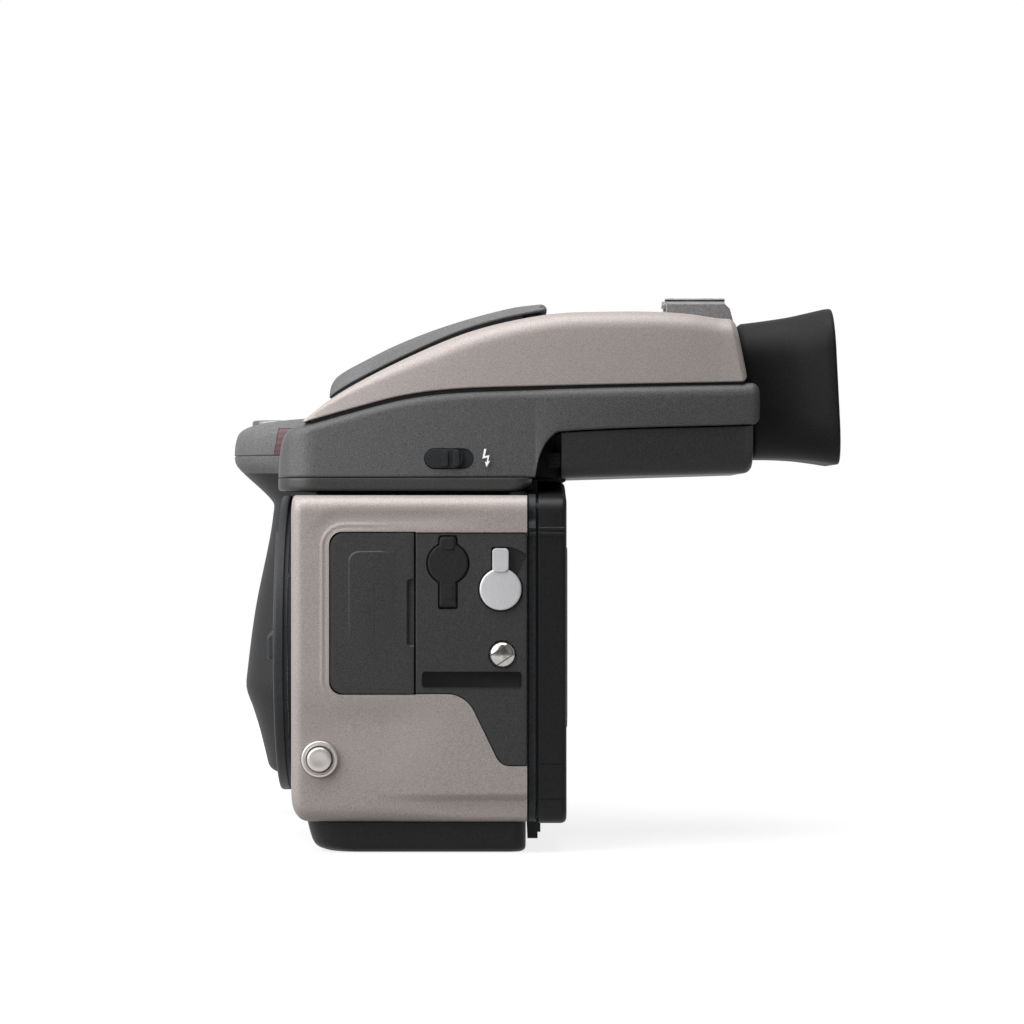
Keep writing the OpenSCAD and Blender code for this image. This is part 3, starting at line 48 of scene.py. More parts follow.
# Places that several pieces share: the body's ends along Y, and centres across the axis a piece turns or presses on.
BODY_FRONT, BODY_BACK = -29, 25.8
LENS, RELEASE, SYNC, LEVER = (0, 47.3), (-22.25, 22), (7.45, 67.3), (19.65, 61.3)
LEFT_LUG, RIGHT_LUG = (20.1, 46.2), (2, 86)


def linear(code):
    """An sRGB hex colour as linear RGBA."""
    parts = [int(code[i:i + 2], 16) / 255 for i in (1, 3, 5)]
    return [p / 12.92 if p <= 0.04045 else ((p + 0.055) / 1.055) ** 2.4 for p in parts] + [1.0]


def add(tree, kind, **settings):
    """A node with its settings; an input takes a value or the socket that feeds it, by name or as inN."""
    node = tree.nodes.new(kind if "Node" in kind else "ShaderNode" + kind)
    for key, value in settings.items():
        if key[:2] == "in" and key[2:].isdigit():
            socket = node.inputs[int(key[2:])]
        elif hasattr(node, key):
            setattr(node, key, value)
            continue
        else:
            socket = node.inputs[key.replace("_", " ")]
        if isinstance(value, bpy.types.NodeSocket):
            tree.links.new(value, socket)
        else:
            socket.default_value = value
    return node


def out(tree, kind, **settings):
    return add(tree, kind, **settings).outputs[0]


def finish(name, colour, **values):
    """A material with one shader, and the place on the object that its patterns read."""
    material = bpy.data.materials.new(name)
    material.use_nodes = True
    tree = material.node_tree
    shader = tree.nodes["Principled BSDF"]
    shader.inputs["Base Color"].default_value = linear(colour)
    for key, value in values.items():
        shader.inputs[key.replace("_", " ")].default_value = value
    return material, tree, shader, add(tree, "TexCoord").outputs["Object"]


def feed(shader, key, socket):
    shader.id_data.links.new(socket, shader.inputs[key])


def blend(tree, shader, share, dark, light):
    mix = add(tree, "Mix", data_type="RGBA", in0=share, in6=linear(dark), in7=linear(light))
    feed(shader, "Base Color", mix.outputs[2])


def emboss(tree, shader, height, depth):
    feed(shader, "Normal", out(tree, "Bump", Strength=1.0, Distance=depth, Height=height))


def mottled(name, dark, light, grain, bump, rough, shine=0.5, metal=0.0, **values):
    """A cast, moulded or sprayed surface: specks of a size and a height in millimetres, between two colours."""
    material, tree, shader, at = finish(name, light, Roughness=rough, Specular_IOR_Level=shine, Metallic=metal,
        **values)
    specks = out(tree, "TexNoise", Vector=at, Scale=1000 / grain, Detail=2.0, Roughness=0.6)
    blend(tree, shader, out(tree, "MapRange", Value=specks, From_Min=0.3, From_Max=0.7), dark, light)
    cloud = out(tree, "TexNoise", Vector=at, Scale=1000 / 32, Detail=3.0)
    feed(shader, "Roughness", out(tree, "MapRange", Value=cloud, To_Min=rough - 0.05, To_Max=rough + 0.05))
    emboss(tree, shader, specks, bump / 1000)
    return material


def show(name, data):
    """A new object, linked into the scene."""
    obj = bpy.data.objects.new(name, data)
    bpy.context.scene.collection.objects.link(obj)
    return obj


def settle(obj):
    """Turns an object's modifiers into its plain mesh."""
    mesh = bpy.data.meshes.new_from_object(obj.evaluated_get(bpy.context.evaluated_depsgraph_get()))
    obj.modifiers.clear()
    old, obj.data = obj.data, mesh
    bpy.data.meshes.remove(old)


def paint(mesh, material):
    mesh.materials.clear()
    mesh.materials.append(material)


def place(obj, material, *nodes, soft=0.0, angle=40, stands=True):
    """Rounds the edges by soft millimetres, shades and colours a piece, and lets it ride where its node does."""
    if soft:
        edge = obj.modifiers.new("edge", "BEVEL")
        edge.width, edge.segments = soft / 1000, 2
        edge.limit_method, edge.angle_limit = "ANGLE", radians(38)
        edge.use_clamp_overlap = True
        settle(obj)
    obj.data.polygons.foreach_set("use_smooth", [True] * len(obj.data.polygons))
    obj.data.set_sharp_from_angle(angle=radians(angle))
    even = obj.modifiers.new("even", "WEIGHTED_NORMAL")
    even.keep_sharp = True
    settle(obj)
    paint(obj.data, material)
    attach(obj, body_of[nodes[0]])
    if stands:
        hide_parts(*nodes)
    return obj


def trim(obj, material, node, **more):
    """A piece drawn beside its node, which it does not replace."""
    place(obj, material, node, stands=False, **more)


def soften(node, material, soft):
    """A copy of a CAD node with its flats joined again and its edges rounded."""
    work = bmesh.new()
    work.from_mesh(frame["nodes"][node].data)
    bmesh.ops.remove_doubles(work, verts=work.verts, dist=2e-6)
    bmesh.ops.dissolve_limit(work, angle_limit=radians(1), verts=work.verts, edges=work.edges)
    mesh = bpy.data.meshes.new(node + "_soft")
    work.to_mesh(mesh)
    work.free()
    return place(show(node + "_soft", mesh), material, node, soft=soft)


# Cast alloy, blasted and anodised black: a dry, slightly grainy dark grey.
cast_black = mottled("cast_alloy_black", "#202124", "#34353a", 0.9, 0.02, 0.55, metal=0.3)
soften("chassis", cast_black, 0.35)
soften("mirror_frame", cast_black, 0.2)
paint(frame["nodes"]["af_sensor"].data, cast_black)
# Flap cloth coated black: a fine weave with hardly any gloss. The same black is painted shade on the dark strips in
# the finder's seam, behind its base and in the shoe's grooves.
flap_and_shade_black = mottled("flap_black_and_painted_shade", "#0e0e0f", "#1c1c1e", 0.5, 0.03, 0.8, shine=0.2)
soften("curtain_upper", flap_and_shade_black, 0.1)
soften("curtain_lower", flap_and_shade_black, 0.1)
# Front-silvered glass: a clear reflection with the faint unevenness of a float glass face.
mirror_glass, tree, shader, at = finish("mirror_silvered", "#c9cfd2", Metallic=1.0, Roughness=0.03)
emboss(tree, shader, out(tree, "TexNoise", Vector=at, Scale=1000 / 25), 2e-6)
soften("reflex_mirror", mirror_glass, 0.15)
# Ground acrylic screen: milky, with the fine tooth that catches the image.
screen_milk = mottled("screen_ground_acrylic", "#b4b9bb", "#cacfd1", 0.35, 0.01, 0.6, shine=0.3,
    Transmission_Weight=0.3)
soften("focusing_screen", screen_milk, 0.15)
# Board with green solder mask over copper lines, 2.5 mm apart, and the motor's plain steel can.
board_green, tree, shader, at = finish("board_solder_mask", "#1f4a35", Roughness=0.35)
feed(shader, "Base Color", out(tree, "TexBrick", Vector=at, Scale=400.0, Mortar_Size=0.03,
    Color1=linear("#1f4a35"), Color2=linear("#255640"), Mortar=linear("#3c7a57")))
soften("main_board", board_green, 0.1)
can_steel = mottled("motor_can_steel", "#8f9092", "#a4a5a7", 1.5, 0.004, 0.35, metal=1.0)
soften("drive_motor", can_steel, 0.3)

# Lens mount
# A turned and chromed bayonet ring with three lugs, held by four screws, with the lock pin beside the throat.
# The row of contacts under the throat is a black moulding.


def spot(across, at, p):
    """A point of an outline that lies across one axis."""
    return {"x": (at, p[0], p[1]), "y": (p[0], at, p[1]), "z": (p[0], p[1], at)}[across]


def turned_metal(name, colour, across, centre, rough, metal=1.0):
    """Metal from the lathe: fine rings round an axis that show as a soft circular sheen."""
    material, tree, shader, at = finish(name, colour, Metallic=metal, Roughness=rough)
    middle = [c / 1000 for c in spot(across, 0, centre)]
    flat = out(tree, "VectorMath", operation="SUBTRACT", in0=at, in1=middle)
    flat = out(tree, "VectorMath", operation="MULTIPLY", in0=flat, in1=spot(across, 0, (1, 1)))
    reach = add(tree, "VectorMath", operation="LENGTH", in0=flat).outputs["Value"]
    rings = out(tree, "TexNoise", noise_dimensions="1D", W=reach, Scale=1000 / 0.3, Detail=2.0)
    feed(shader, "Roughness", out(tree, "MapRange", Value=rings, To_Min=rough - 0.06, To_Max=rough + 0.1))
    emboss(tree, shader, rings, 4e-6)
    return material


chromed_ring = turned_metal("mount_turned_chrome", "#c6c7c9", "y", LENS, 0.24)
soften("lens_mount", chromed_ring, 0.2)
bright_steel = mottled("steel_polished", "#a5a39f", "#b9b7b3", 2.0, 0.002, 0.22, metal=1.0)
soften("lens_lock_pin", bright_steel, 0.3)
soften("mount_screws", bright_steel, 0.15)
moulded_black = mottled("moulding_black", "#17181a", "#242527", 0.5, 0.012, 0.52, shine=0.25)
soften("lens_contacts", moulded_black, 0.15)

# Body shell
# A pressed and painted metal case, open at the back. Its left side is dished in a soft ring round the door and
# the panel, and stepped in near the foot. The finish is a taupe metallic lacquer.


def curve(line, at):
    """Height of a smooth curve through points, at one distance."""
    i = 0
    while i < len(line) - 2 and at >= line[i + 1][0]:
        i += 1

    def slope(k):
        a, b = line[max(k - 1, 0)], line[min(k + 1, len(line) - 1)]
        return (b[1] - a[1]) / (b[0] - a[0])
    h = line[i + 1][0] - line[i][0]
    u = min(max((at - line[i][0]) / h, 0), 1)
    return ((2 * u**3 - 3 * u**2 + 1) * line[i][1] + (u**3 - 2 * u**2 + u) * slope(i) * h
        + (3 * u**2 - 2 * u**3) * line[i + 1][1] + (u**3 - u**2) * slope(i + 1) * h)


def ramp(a, b, at):
    u = min(max((at - a) / (b - a), 0), 1)
    return u * u * (3 - 2 * u)


def corner(a, p, b, r, steps):
    """Points round one corner of an outline."""
    a, p, b = Vector(a), Vector(p), Vector(b)
    u, v = (a - p).normalized(), (b - p).normalized()
    half = u.angle(v) / 2
    c = p + (u + v).normalized() * (r / sin(half))
    s, e = p + u * (r / tan(half)) - c, p + v * (r / tan(half)) - c
    start = atan2(s.y, s.x)
    turn = (atan2(e.y, e.x) - start + 3 * pi) % (2 * pi) - pi
    return [(c.x + r * cos(start + turn * i / steps), c.y + r * sin(start + turn * i / steps))
        for i in range(steps + 1)]


def outline(points, radii, steps=6, runs=None):
    """An outline with rounded corners; runs splits each straight edge into that many lengths."""
    n = len(points)
    arcs = [corner(points[i - 1], points[i], points[(i + 1) % n], max(radii[i], 0.02), steps) for i in range(n)]
    ring = []
    for i, arc in enumerate(arcs):
        ring += arc
        if runs:
            (x0, y0), (x1, y1) = arc[-1], arcs[(i + 1) % n][0]
            ring += [(x0 + (x1 - x0) * k / runs[i], y0 + (y1 - y0) * k / runs[i]) for k in range(1, runs[i])]
    return ring


def oblong(x0, y0, x1, y1):
    return [(x0, y0), (x1, y0), (x1, y1), (x0, y1)]


def pad(x0, y0, x1, y1, r, steps=6):
    """A rounded oblong that is drawn grown by an amount."""
    return lambda g: outline(oblong(x0 - g, y0 - g, x1 + g, y1 + g), [r + g] * 4, steps)


def skin(rings, loop=False):
    """Vertices and faces over a row of rings with equal counts; a loop joins the last to the first."""
    n, m = len(rings[0]), len(rings)
    faces = [(i * n + j, i * n + (j + 1) % n, (i + 1) % m * n + (j + 1) % n, (i + 1) % m * n + j)
        for i in range(m if loop else m - 1) for j in range(n)]
    if not loop:
        faces += [tuple(range(n)), tuple(range((m - 1) * n, m * n))]
    return [p for ring in rings for p in ring], faces


def plate(make, levels, across="x"):
    """A plate from its outline, which is drawn at each level grown by an amount."""
    return skin([[spot(across, at, p) for p in make(grow)] for at, grow in levels])


def slab(ring, low, high, across="x"):
    return plate(lambda g: ring, [(low, 0), (high, 0)], across)


def turned(profile, across, centre, steps=72, loop=False):
    """A turned solid from a profile of places along its axis and radii."""
    turns = [2 * pi * k / steps for k in range(steps)]
    return skin([[spot(across, at, (centre[0] + r * cos(t), centre[1] + r * sin(t))) for t in turns]
        for at, r in profile], loop)


def rod(across, low, high, centre, r, steps=48):
    return turned([(low, r), (high, r)], across, centre, steps)


def block(a, b):
    return slab(oblong(a[0], a[1], b[0], b[1]), a[2], b[2], "z")


def solid(name, shape):
    """A closed mesh object from vertices in millimetres."""
    mesh = bpy.data.meshes.new(name)
    mesh.from_pydata([(x / 1000, y / 1000, z / 1000) for x, y, z in shape[0]], [], shape[1])
    work = bmesh.new()
    work.from_mesh(mesh)
    bmesh.ops.remove_doubles(work, verts=work.verts, dist=1e-7)
    bmesh.ops.recalc_face_normals(work, faces=work.faces)
    work.to_mesh(mesh)
    work.free()
    return show(name, mesh)


def carve(obj, *shapes, how="DIFFERENCE"):
    """Cuts shapes out of a piece, or joins or keeps them."""
    for shape in shapes:
        tool = solid("tool", shape)
        cut = obj.modifiers.new("cut", "BOOLEAN")
        cut.operation, cut.solver, cut.object = how, "EXACT", tool
        settle(obj)
        bpy.data.meshes.remove(tool.data)
    return obj


def join(obj, *shapes):
    return carve(obj, *shapes, how="UNION")


def shell_side(x, y, z):
    """The left side: a thin bead before the door, a valley above it, a slow hollow below it, a step over the foot."""
    if x < 40:
        return x
    ahead, up, down = max(-16.5 - y, 0), max(z - 71.1, 0), max(40.4 - z, 0)
    span = max(hypot(ahead, up, down), 0.01)
    away = max(span - 3.65, 0)
    valley = 0.42 * (up / span) ** 2 * (1 - ramp(2, 20, y)) * sin(pi * min(away / 6.2, 1)) ** 2
    bead = 0.14 * exp(-((away - 1.5) / 0.38) ** 2) + 0.12 * (1 - ramp(0, 0.9, away))
    bead *= (1 - down / span) * (1 - ramp(-14, 0, y))
    hollow = 0.8 * (down / span) ** 2 * (1 - ramp(-8, 8, y)) * ramp(0, 7, away) * (1 - ramp(7, 24, away))
    step = 1.15 * ramp(-14, 16, y) * (1 - ramp(11.9, 14.1, z))
    return x - valley + bead - hollow - step


def shell_ring(y):
    """One ring of the case; its front edge is rounded by its own amount at the sides, the foot and the top."""
    def near(r):
        return 1 - sqrt(max(1 - (max(r + BODY_FRONT - y, 0) / r) ** 2, 0))
    x, z0, z1, r = 48 - 3 * near(2.6), 7.3 + 5.5 * near(4), 83.1 - 2.4 * near(1), 6 - 3 * near(2.6)
    low = 3.6 - 2 * ramp(-14, 16, y) - near(2.6)
    ring = outline(oblong(-x, z0, x, z1), [r, low, min(r, 3.7), r], 8, (12, 290, 12, 6))
    return [(shell_side(px, y, pz), y, pz) for px, pz in ring]


def panel(grow, back=BODY_BACK):
    """Outline of the side panel, grown by an amount."""
    lean, foot, waist, top, r = grow * 0.626, 20.4 - grow, 37.1 - grow, 74.4 + grow, 0.35 + grow
    return outline([(-grow, waist), (11.6 - lean, waist), (19.7 - lean, foot), (back, foot), (back, top),
        (-grow, top)], [r, 7 - grow, 3.5 + grow, r, r, r], 8)


def door(grow, least=0.0, back=-0.4, front=None):
    """Outline of the accessory door, round at its front corners."""
    front = front or max(3.3 + grow, least)
    return outline(oblong(-19.8 - grow, 37.1 - grow, back + min(grow, 0), 74.4 + grow), [front, 0.2, 0.2, front], 8,
        (14, 28, 14, 28))


# Metallic lacquer: fine bright flakes under a satin top coat. The flakes are drawn 0.26 mm wide so that they show.
taupe_paint = mottled("lacquer_taupe", "#827b78", "#a39a96", 0.26, 0.008, 0.5, metal=0.2)
# Angles over a quarter turn, for edges that are rounded ring by ring.
rounding = [radians(10 * i) for i in range(10)]
shell = solid("shell_case", skin([shell_ring(BODY_FRONT + 4 * (1 - cos(a))) for a in rounding]
    + [shell_ring(y) for y in [-24.5, -24] + [-23.5 + 0.2 * i for i in range(18)]
    + [-19.8 + 0.6 * i for i in range(76)] + [BODY_BACK]]))
carve(shell, block((-45, -26, 10.3), (45, 27, 80.1)), rod("y", -30, -25, LENS, 31.05, 96),
    block((-32, -24, 79), (32, 21.8, 84.5)), slab(panel(0.1, 27), 46.2, 49),
    slab(door(0.25, back=0.1, front=3.0), 44, 49), rod("x", 44, 48, RELEASE, 3.69), rod("x", 47.6, 49, RELEASE, 4.44),
    rod("x", 44, 47, SYNC, 3.05), rod("x", 44, 47, LEVER, 1.55))
place(shell, taupe_paint, "body_shell", angle=32)

# Lens release
# A turned ring pressed into the shell round a sprung button, both satin chromed.
satin_ring = turned_metal("release_satin_chrome", "#c3bebb", "x", RELEASE, 0.34, 0.75)
place(solid("release_ring", turned([(45, 3.62), (47.6, 3.62), (47.6, 4.24), (48.5, 4.24), (48.74, 4.16), (48.87, 3.98),
    (48.9, 3.7), (48.82, 3.35), (48.6, 3.12), (48.3, 2.95), (45, 2.9)], "x", RELEASE, loop=True)), satin_ring,
    "release_bezel")
place(solid("release_knob", turned([(43.6, 3.62), (44.8, 3.62), (44.8, 2.84), (49.9, 2.84), (50.2, 2.76), (50.4, 2.55),
    (50.48, 2.2), (50.44, 1.5), (50.36, 0.8), (50.34, 0.002)], "x", RELEASE)), satin_ring, "release_button")

# Side panel and name plate
# A flat moulded cover in the shell's left side with pockets for the sync cover, the lever and the strap lug.
# The name plate is a gloss black strip glued on under them, left bare.
panel_grain = mottled("panel_moulded_grain", "#282828", "#3c3c3c", 0.3, 0.014, 0.5, shine=0.25)


def keyhole(grow):
    """Outline of the sync socket's cover: a disc with a tab above and a strap below."""
    (y, z), r, half, top, low = SYNC, 4.7 + grow, 1.95 + grow, 73.5 + grow, 57.0 - grow
    lift = asin(sqrt(r * r - half * half) / r)

    def arc(a, b):
        return [(y + r * cos(a + (b - a) * k / 24), z + r * sin(a + (b - a) * k / 24)) for k in range(25)]
    left, right = y - half, y + half
    return (corner((left, z), (left, low), (right, low), 0.6, 4)
        + corner((left, low), (right, low), (right, z), 0.6, 4) + arc(-lift, lift)
        + corner((right, z), (right, top), (left, top), 0.8, 4)
        + corner((right, top), (left, top), (left, z), 0.8, 4) + arc(pi - lift, pi + lift))


def lever_room():
    """Outline of the pocket that the lever's tab swings in."""
    def swung(p, degrees):
        c, s = cos(radians(degrees)), sin(radians(degrees))
        return LEVER[0] + p[0] * c + p[1] * s, LEVER[1] - p[0] * s + p[1] * c
    return ([swung((-2.25, 0), 0), swung((-2.25, 9.5), 0), swung((-1.9, 9.85), 0)]
        + [swung((2.0, 9.85), a) for a in range(0, 28, 3)] + [swung((2.25, 9.4), 25), swung((2.25, 0), 25)])


side = solid("panel_plate", plate(lambda g: panel(g, 25.75 + g),
    [(46.2, 0), (47.45, 0), (47.6, -0.05), (47.72, -0.15), (47.8, -0.34)]))
carve(side, slab(keyhole(0.35), 46.4, 49), rod("x", 46.4, 49, LEVER, 5.21), slab(lever_room(), 46.4, 49),
    rod("x", 46, 49, LEFT_LUG, 3.35), rod("x", 46, 47, SYNC, 3.05), rod("x", 46, 47, LEVER, 1.55))
place(side, panel_grain, "side_panel")
gloss_black = mottled("plate_gloss_black", "#0a0a0b", "#101011", 1.2, 0.001, 0.16, shine=0.3)
place(solid("name_plate_bare", plate(pad(1.4, 38.55, 24.4, 42.25, 0.6), [(47.8, 0), (47.98, 0), (48.05, -0.1)])),
    gloss_black, "name_plate")

# Accessory door
# A moulded door on a steel pin, with a finger slot at its back edge and a raised field that fades out.
# Behind it sits the accessory socket in its black moulding.
def field_height(y, z):
    return 47.92 + 0.26 * (1 - ramp(-10, -3.2, y)) * ramp(46, 58, z)


DOOR_PIN = (46.8, -16.4)
leaf = [[(x, y, z) for y, z in door(g)]
    for x, g in ((45.8, 0), (46.7, 0), (46.9, 0.15), (47.45, 0.15), (47.65, 0.1), (47.82, -0.02), (47.92, -0.25))]
leaf += [[(47.92, y, z) for y, z in door(g, 2.4)] for g in (-1, -2, -3, -4.2)]
leaf += [[(field_height(y, z), y, z) for y, z in door(g, 2.4)] for g in (-4.5, -4.8, -5.5, -6.5, -7.8, -9)]
leaf = solid("door_leaf", skin(leaf))
carve(leaf, plate(lambda g: outline(oblong(-1.7 - g, 48.4 - g, 0.4, 63.4 + g), [0.6 + g, 0.2, 0.2, 0.6 + g], 5),
    [(47.0, 0), (47.4, 0), (47.9, 0.42), (49, 0.42)]), rod("z", 36, 76, DOOR_PIN, 0.55, 24))
place(leaf, panel_grain, "accessory_door", angle=30)
place(solid("door_pin", turned([(36, 0.3), (36.2, 0.5), (75.3, 0.5), (75.5, 0.3)], "z", DOOR_PIN, 24)), cast_black,
    "door_hinge_pin")
soften("accessory_socket", moulded_black, 0.3)

# Sync socket
# A threaded steel socket under a rubber cover that hangs on its own strap; the tab at the top lifts it.
# Soft black rubber for the sync cover, the wheels and the mount's baffle; the same black is painted shade on the
# strips under the finder's rear and under the flash lid.
rubber_and_shade_black = mottled("cover_rubber_and_painted_shade", "#171718", "#222223", 0.6, 0.015, 0.62, shine=0.2)
soften("sync_terminal", bright_steel, 0.15)
cover = solid("sync_lid", plate(keyhole,
    [(46.5, -0.1), (46.6, 0), (47.55, 0), (47.75, -0.08), (47.87, -0.26), (47.9, -0.5)]))
join(cover, plate(pad(6.0, 70.4, 8.9, 73.0, 0.7), [(47.5, 0), (48.02, 0), (48.12, -0.08), (48.15, -0.25)]),
    plate(pad(6.3, 58.9, 8.6, 62.4, 0.5), [(47.5, 0), (47.98, 0), (48.05, -0.15)]))
carve(cover, block((46, 5, 56), (49, 10, 57.7)))
join(cover, rod("y", 5.52, 9.38, (47.2, 57.7), 0.69, 32))
place(cover, rubber_and_shade_black, "sync_cover")

# Back release lever
# A die-cast lever, blasted and satin chromed, that turns in its pocket; its tab stands a little proud.
satin_metal = mottled("lever_satin_chrome", "#bfbfc1", "#cacacc", 0.3, 0.003, 0.45, metal=0.4)
lever = solid("lever_disc", turned([(43, 1.5), (46.5, 1.5), (46.5, 4.86), (48.3, 4.86), (48.52, 4.79), (48.66, 4.6),
    (48.72, 4.3), (48.78, 2.2), (48.8, 0.002)], "x", LEVER))
join(lever, plate(pad(17.75, 62, 21.55, 70.8, 0.9), [(46.5, 0), (48.2, 0), (48.4, -0.1), (48.45, -0.3)]),
    plate(lambda g: outline(oblong(17.75 - g, 65.3 - g, 21.55 + g, 70.8 + g), [1.3 + g, 1.3 + g, 0.9 + g, 0.9 + g]),
    [(47, 0), (48.85, 0), (49.05, -0.1), (49.12, -0.3)]))
place(lever, satin_metal, "back_release_lever")

# Strap lugs
# Polished steel studs that a strap clip snaps over, one on each side; two slots leave a band across the head.


def stud(name, d, centre, base, node):
    """One stud from its base along X, in direction d, and the two slots across its head."""
    profile = ((0, 3.0), (1.7, 3.0), (1.95, 2.9), (2.3, 2.6), (2.6, 2.1), (2.8, 1.4), (2.88, 0.002))
    obj = solid(name, turned([(base + d * rise, r) for rise, r in profile], "x", centre))
    c, s = cos(radians(33)), sin(radians(33))
    for off in (-1.35, 1.35):
        ring = [(centre[0] + u * c - v * s, centre[1] + u * s + v * c)
            for u, v in oblong(-2.3, off - 0.14, 2.3, off + 0.14)]
        carve(obj, slab(ring, *sorted((base + d * 1.9, base + d * 4))))
    place(obj, bright_steel, node)


stud("lug_left", 1, LEFT_LUG, 46.2, "strap_lug_left")
stud("lug_right", -1, RIGHT_LUG, -101.0, "strap_lug_right")

# Foot
# A black moulded base plate with a sloped nose, screwed on from below round two steel tripod bushes.
foot_black = mottled("foot_moulded_black", "#131314", "#1f1f20", 0.5, 0.02, 0.48, shine=0.2)
# How far its nose, sides and back draw in, by the share of its height.
foot_lines = [[(0, 1), (0.09, 0.63), (0.24, 0.37), (0.5, 0.2), (1, 0)],
    [(0, 2.5), (0.09, 1.4), (0.24, 0.7), (0.5, 0.3), (1, 0)],
    [(0, 0.9), (0.04, 0.45), (0.09, 0.16), (0.16, 0.03), (0.25, 0), (1, 0)]]


def foot_ring(u):
    slope, sides, back = [curve(line, u) for line in foot_lines]
    ring = outline(oblong(-44.5 + sides, -25.8 + 4.6 * slope, 44.5 - sides, 25.5 - back), [8, 8, 3, 3], 8)
    return [(x, y, 7.3 * u) for x, y in ring]


foot = solid("foot_plate", skin([foot_ring(u)
    for u in (0, 0.02, 0.04, 0.065, 0.09, 0.12, 0.16, 0.24, 0.35, 0.5, 0.7, 0.97)]))
carve(foot, rod("z", -1, 9, (0, 0), 7.01), rod("z", -1, 9, (0, -15), 5.43),
    *[rod("z", -1, 2.8, (x, y), 2.6, 32) for x in (-34, 34) for y in (-17, 17)])
place(foot, foot_black, "base_foot")


def waves(tree, at, along, pitch):
    """Bands along one axis, a pitch in millimetres apart."""
    return add(tree, "TexWave", bands_direction=along, Vector=at, Scale=1000 / pitch / 2 / pi).outputs[1]


# Bushes cut with a tripod thread, drawn as rings 1.3 mm apart in the bore.
thread_steel, tree, shader, at = finish("bush_thread_steel", "#b4b5b7", Metallic=1.0, Roughness=0.32)
emboss(tree, shader, waves(tree, at, "Z", 1.3), 2e-4)
soften("tripod_bushes", thread_steel, 0.3)
# Four countersunk screws share one head shape with a cross recess, set out by a node tree.
head = solid("screw_head", turned([(0.8, 1.9), (0.95, 2.2), (1.3, 2.38), (2.8, 2.38), (2.8, 1.38), (9.3, 1.38)], "z",
    (0, 0), 32))
carve(head, block((-1.5, -0.3, 0), (1.5, 0.3, 1.7)), block((-0.3, -1.5, 0), (0.3, 1.5, 1.7)))


def set_out(name, shape, material, points, count, radius, size):
    """Copies one shape to a square of points or round a ring, by a node tree, and returns the plain mesh."""
    tree = bpy.data.node_groups.new(name, "GeometryNodeTree")
    tree.interface.new_socket("Geometry", in_out="OUTPUT", socket_type="NodeSocketGeometry")
    inputs = {key: tree.interface.new_socket(key, in_out="INPUT", socket_type=kind)
        for key, kind in (("Count", "NodeSocketInt"), ("Radius", "NodeSocketFloat"), ("Size", "NodeSocketVector"))}
    given = add(tree, "NodeGroupInput").outputs
    if points == "square":
        axes = add(tree, "SeparateXYZ", Vector=given["Size"]).outputs
        spread = out(tree, "GeometryNodeMeshGrid", Size_X=axes[0], Size_Y=axes[1], Vertices_X=given["Count"],
            Vertices_Y=given["Count"])
        turn = {}
    else:
        spread = out(tree, "GeometryNodeMeshCircle", Vertices=given["Count"], Radius=given["Radius"])
        away = out(tree, "GeometryNodeInputPosition")
        turn = {"Rotation": out(tree, "FunctionNodeAlignRotationToVector", axis="X", Vector=away)}
    source = add(tree, "GeometryNodeObjectInfo", Object=shape).outputs["Geometry"]
    copies = out(tree, "GeometryNodeInstanceOnPoints", Points=spread, Instance=source, **turn)
    whole = out(tree, "GeometryNodeRealizeInstances", Geometry=copies)
    whole = out(tree, "GeometryNodeSetMaterial", Geometry=whole, Material=material)
    add(tree, "NodeGroupOutput", Geometry=whole)
    obj = show(name, bpy.data.meshes.new(name))
    repeat = obj.modifiers.new("repeat", "NODES")
    repeat.node_group = tree
    for key, value in (("Count", count), ("Radius", radius / 1000), ("Size", [s / 1000 for s in size])):
        repeat[inputs[key].identifier] = value
    settle(obj)
    bpy.data.meshes.remove(shape.data)
    return obj


place(set_out("base_screw_set", head, bright_steel, "square", 2, 0, (68, 34, 0)), bright_steel, "base_screws")

# Back frame and back cover
# The black frame that a magazine hooks on to, and the moulded cover that protects the opening without one.
# A double bead runs round both at the height of the panel's top edge.
frame_black = mottled("frame_black_anodised", "#212223", "#303133", 0.6, 0.01, 0.45, shine=0.2, metal=0.2)


def beads(x, y0, y1):
    return [rod("y", y0, y1, (s * x, z), 0.5, 16) for s in (-1, 1) for z in (74.1, 75.3)]


def back(grow):
    x, low, side, top, r = 46.2 + grow, 6.7 - grow, 82.5 + 0.8 * grow, 86.3 + grow, 4 + grow
    return outline([(-x, low), (x, low), (x, side), (16, top), (-16, top), (-x, side)], [r, r, r, 20, 20, r], 8)


rim = solid("back_rim", plate(pad(-46, 6.9, 46, 83.4, 5, 8), [(BODY_BACK, -0.5), (25.95, -0.2), (26.2, 0), (27.75, 0),
    (27.93, -0.15), (28, -0.4), (28, -1.1), (28.8, -1.1)], "y"))
join(rim, block((-38, 25.9, 2.8), (38, 28.3, 8)), block((-38, 26.5, 4.3), (38, 28.95, 6.5)),
    block((-34, 25.85, 80), (34, 28.3, 84.05)), block((-34, 27.02, 80), (34, 28.3, 86.8)),
    slab(back(-1.2), 27.15, 28.8, "y"), *beads(45.75, 26.2, 27.8))
carve(rim, block((-29.5, 25, 24.3), (29.5, 30, 70.3)))
place(rim, frame_black, "rear_frame", angle=30)
cover_black = mottled("cover_moulded_black", "#101011", "#1a1a1b", 0.5, 0.018, 0.46, shine=0.2)
lid = solid("back_lid", plate(back, [(28.35, -0.3), (28.45, -0.08), (28.7, 0), (33.7, 0), (34.2, -0.1), (34.6, -0.35),
    (34.85, -0.7), (35, -1.3)], "y"))
join(lid, plate(pad(-26, 27.8, 26, 70.8, 3), [(34, 0), (35.25, 0), (35.42, -0.1), (35.47, -0.3)], "y"),
    *beads(45.98, 28.6, 34.4))
carve(lid, block((-42.2, 28, 10.7), (42.2, 33, 78.1)), slab(back(-1.1), 28, 29.02, "y"),
    *[block((s * 46.2 - 0.18, 28, z), (s * 46.2 + 0.18, 34.6, z + 0.2)) for s in (-1, 1) for z in (20.6, 12.5)])
place(lid, cover_black, "rear_cover", angle=30)

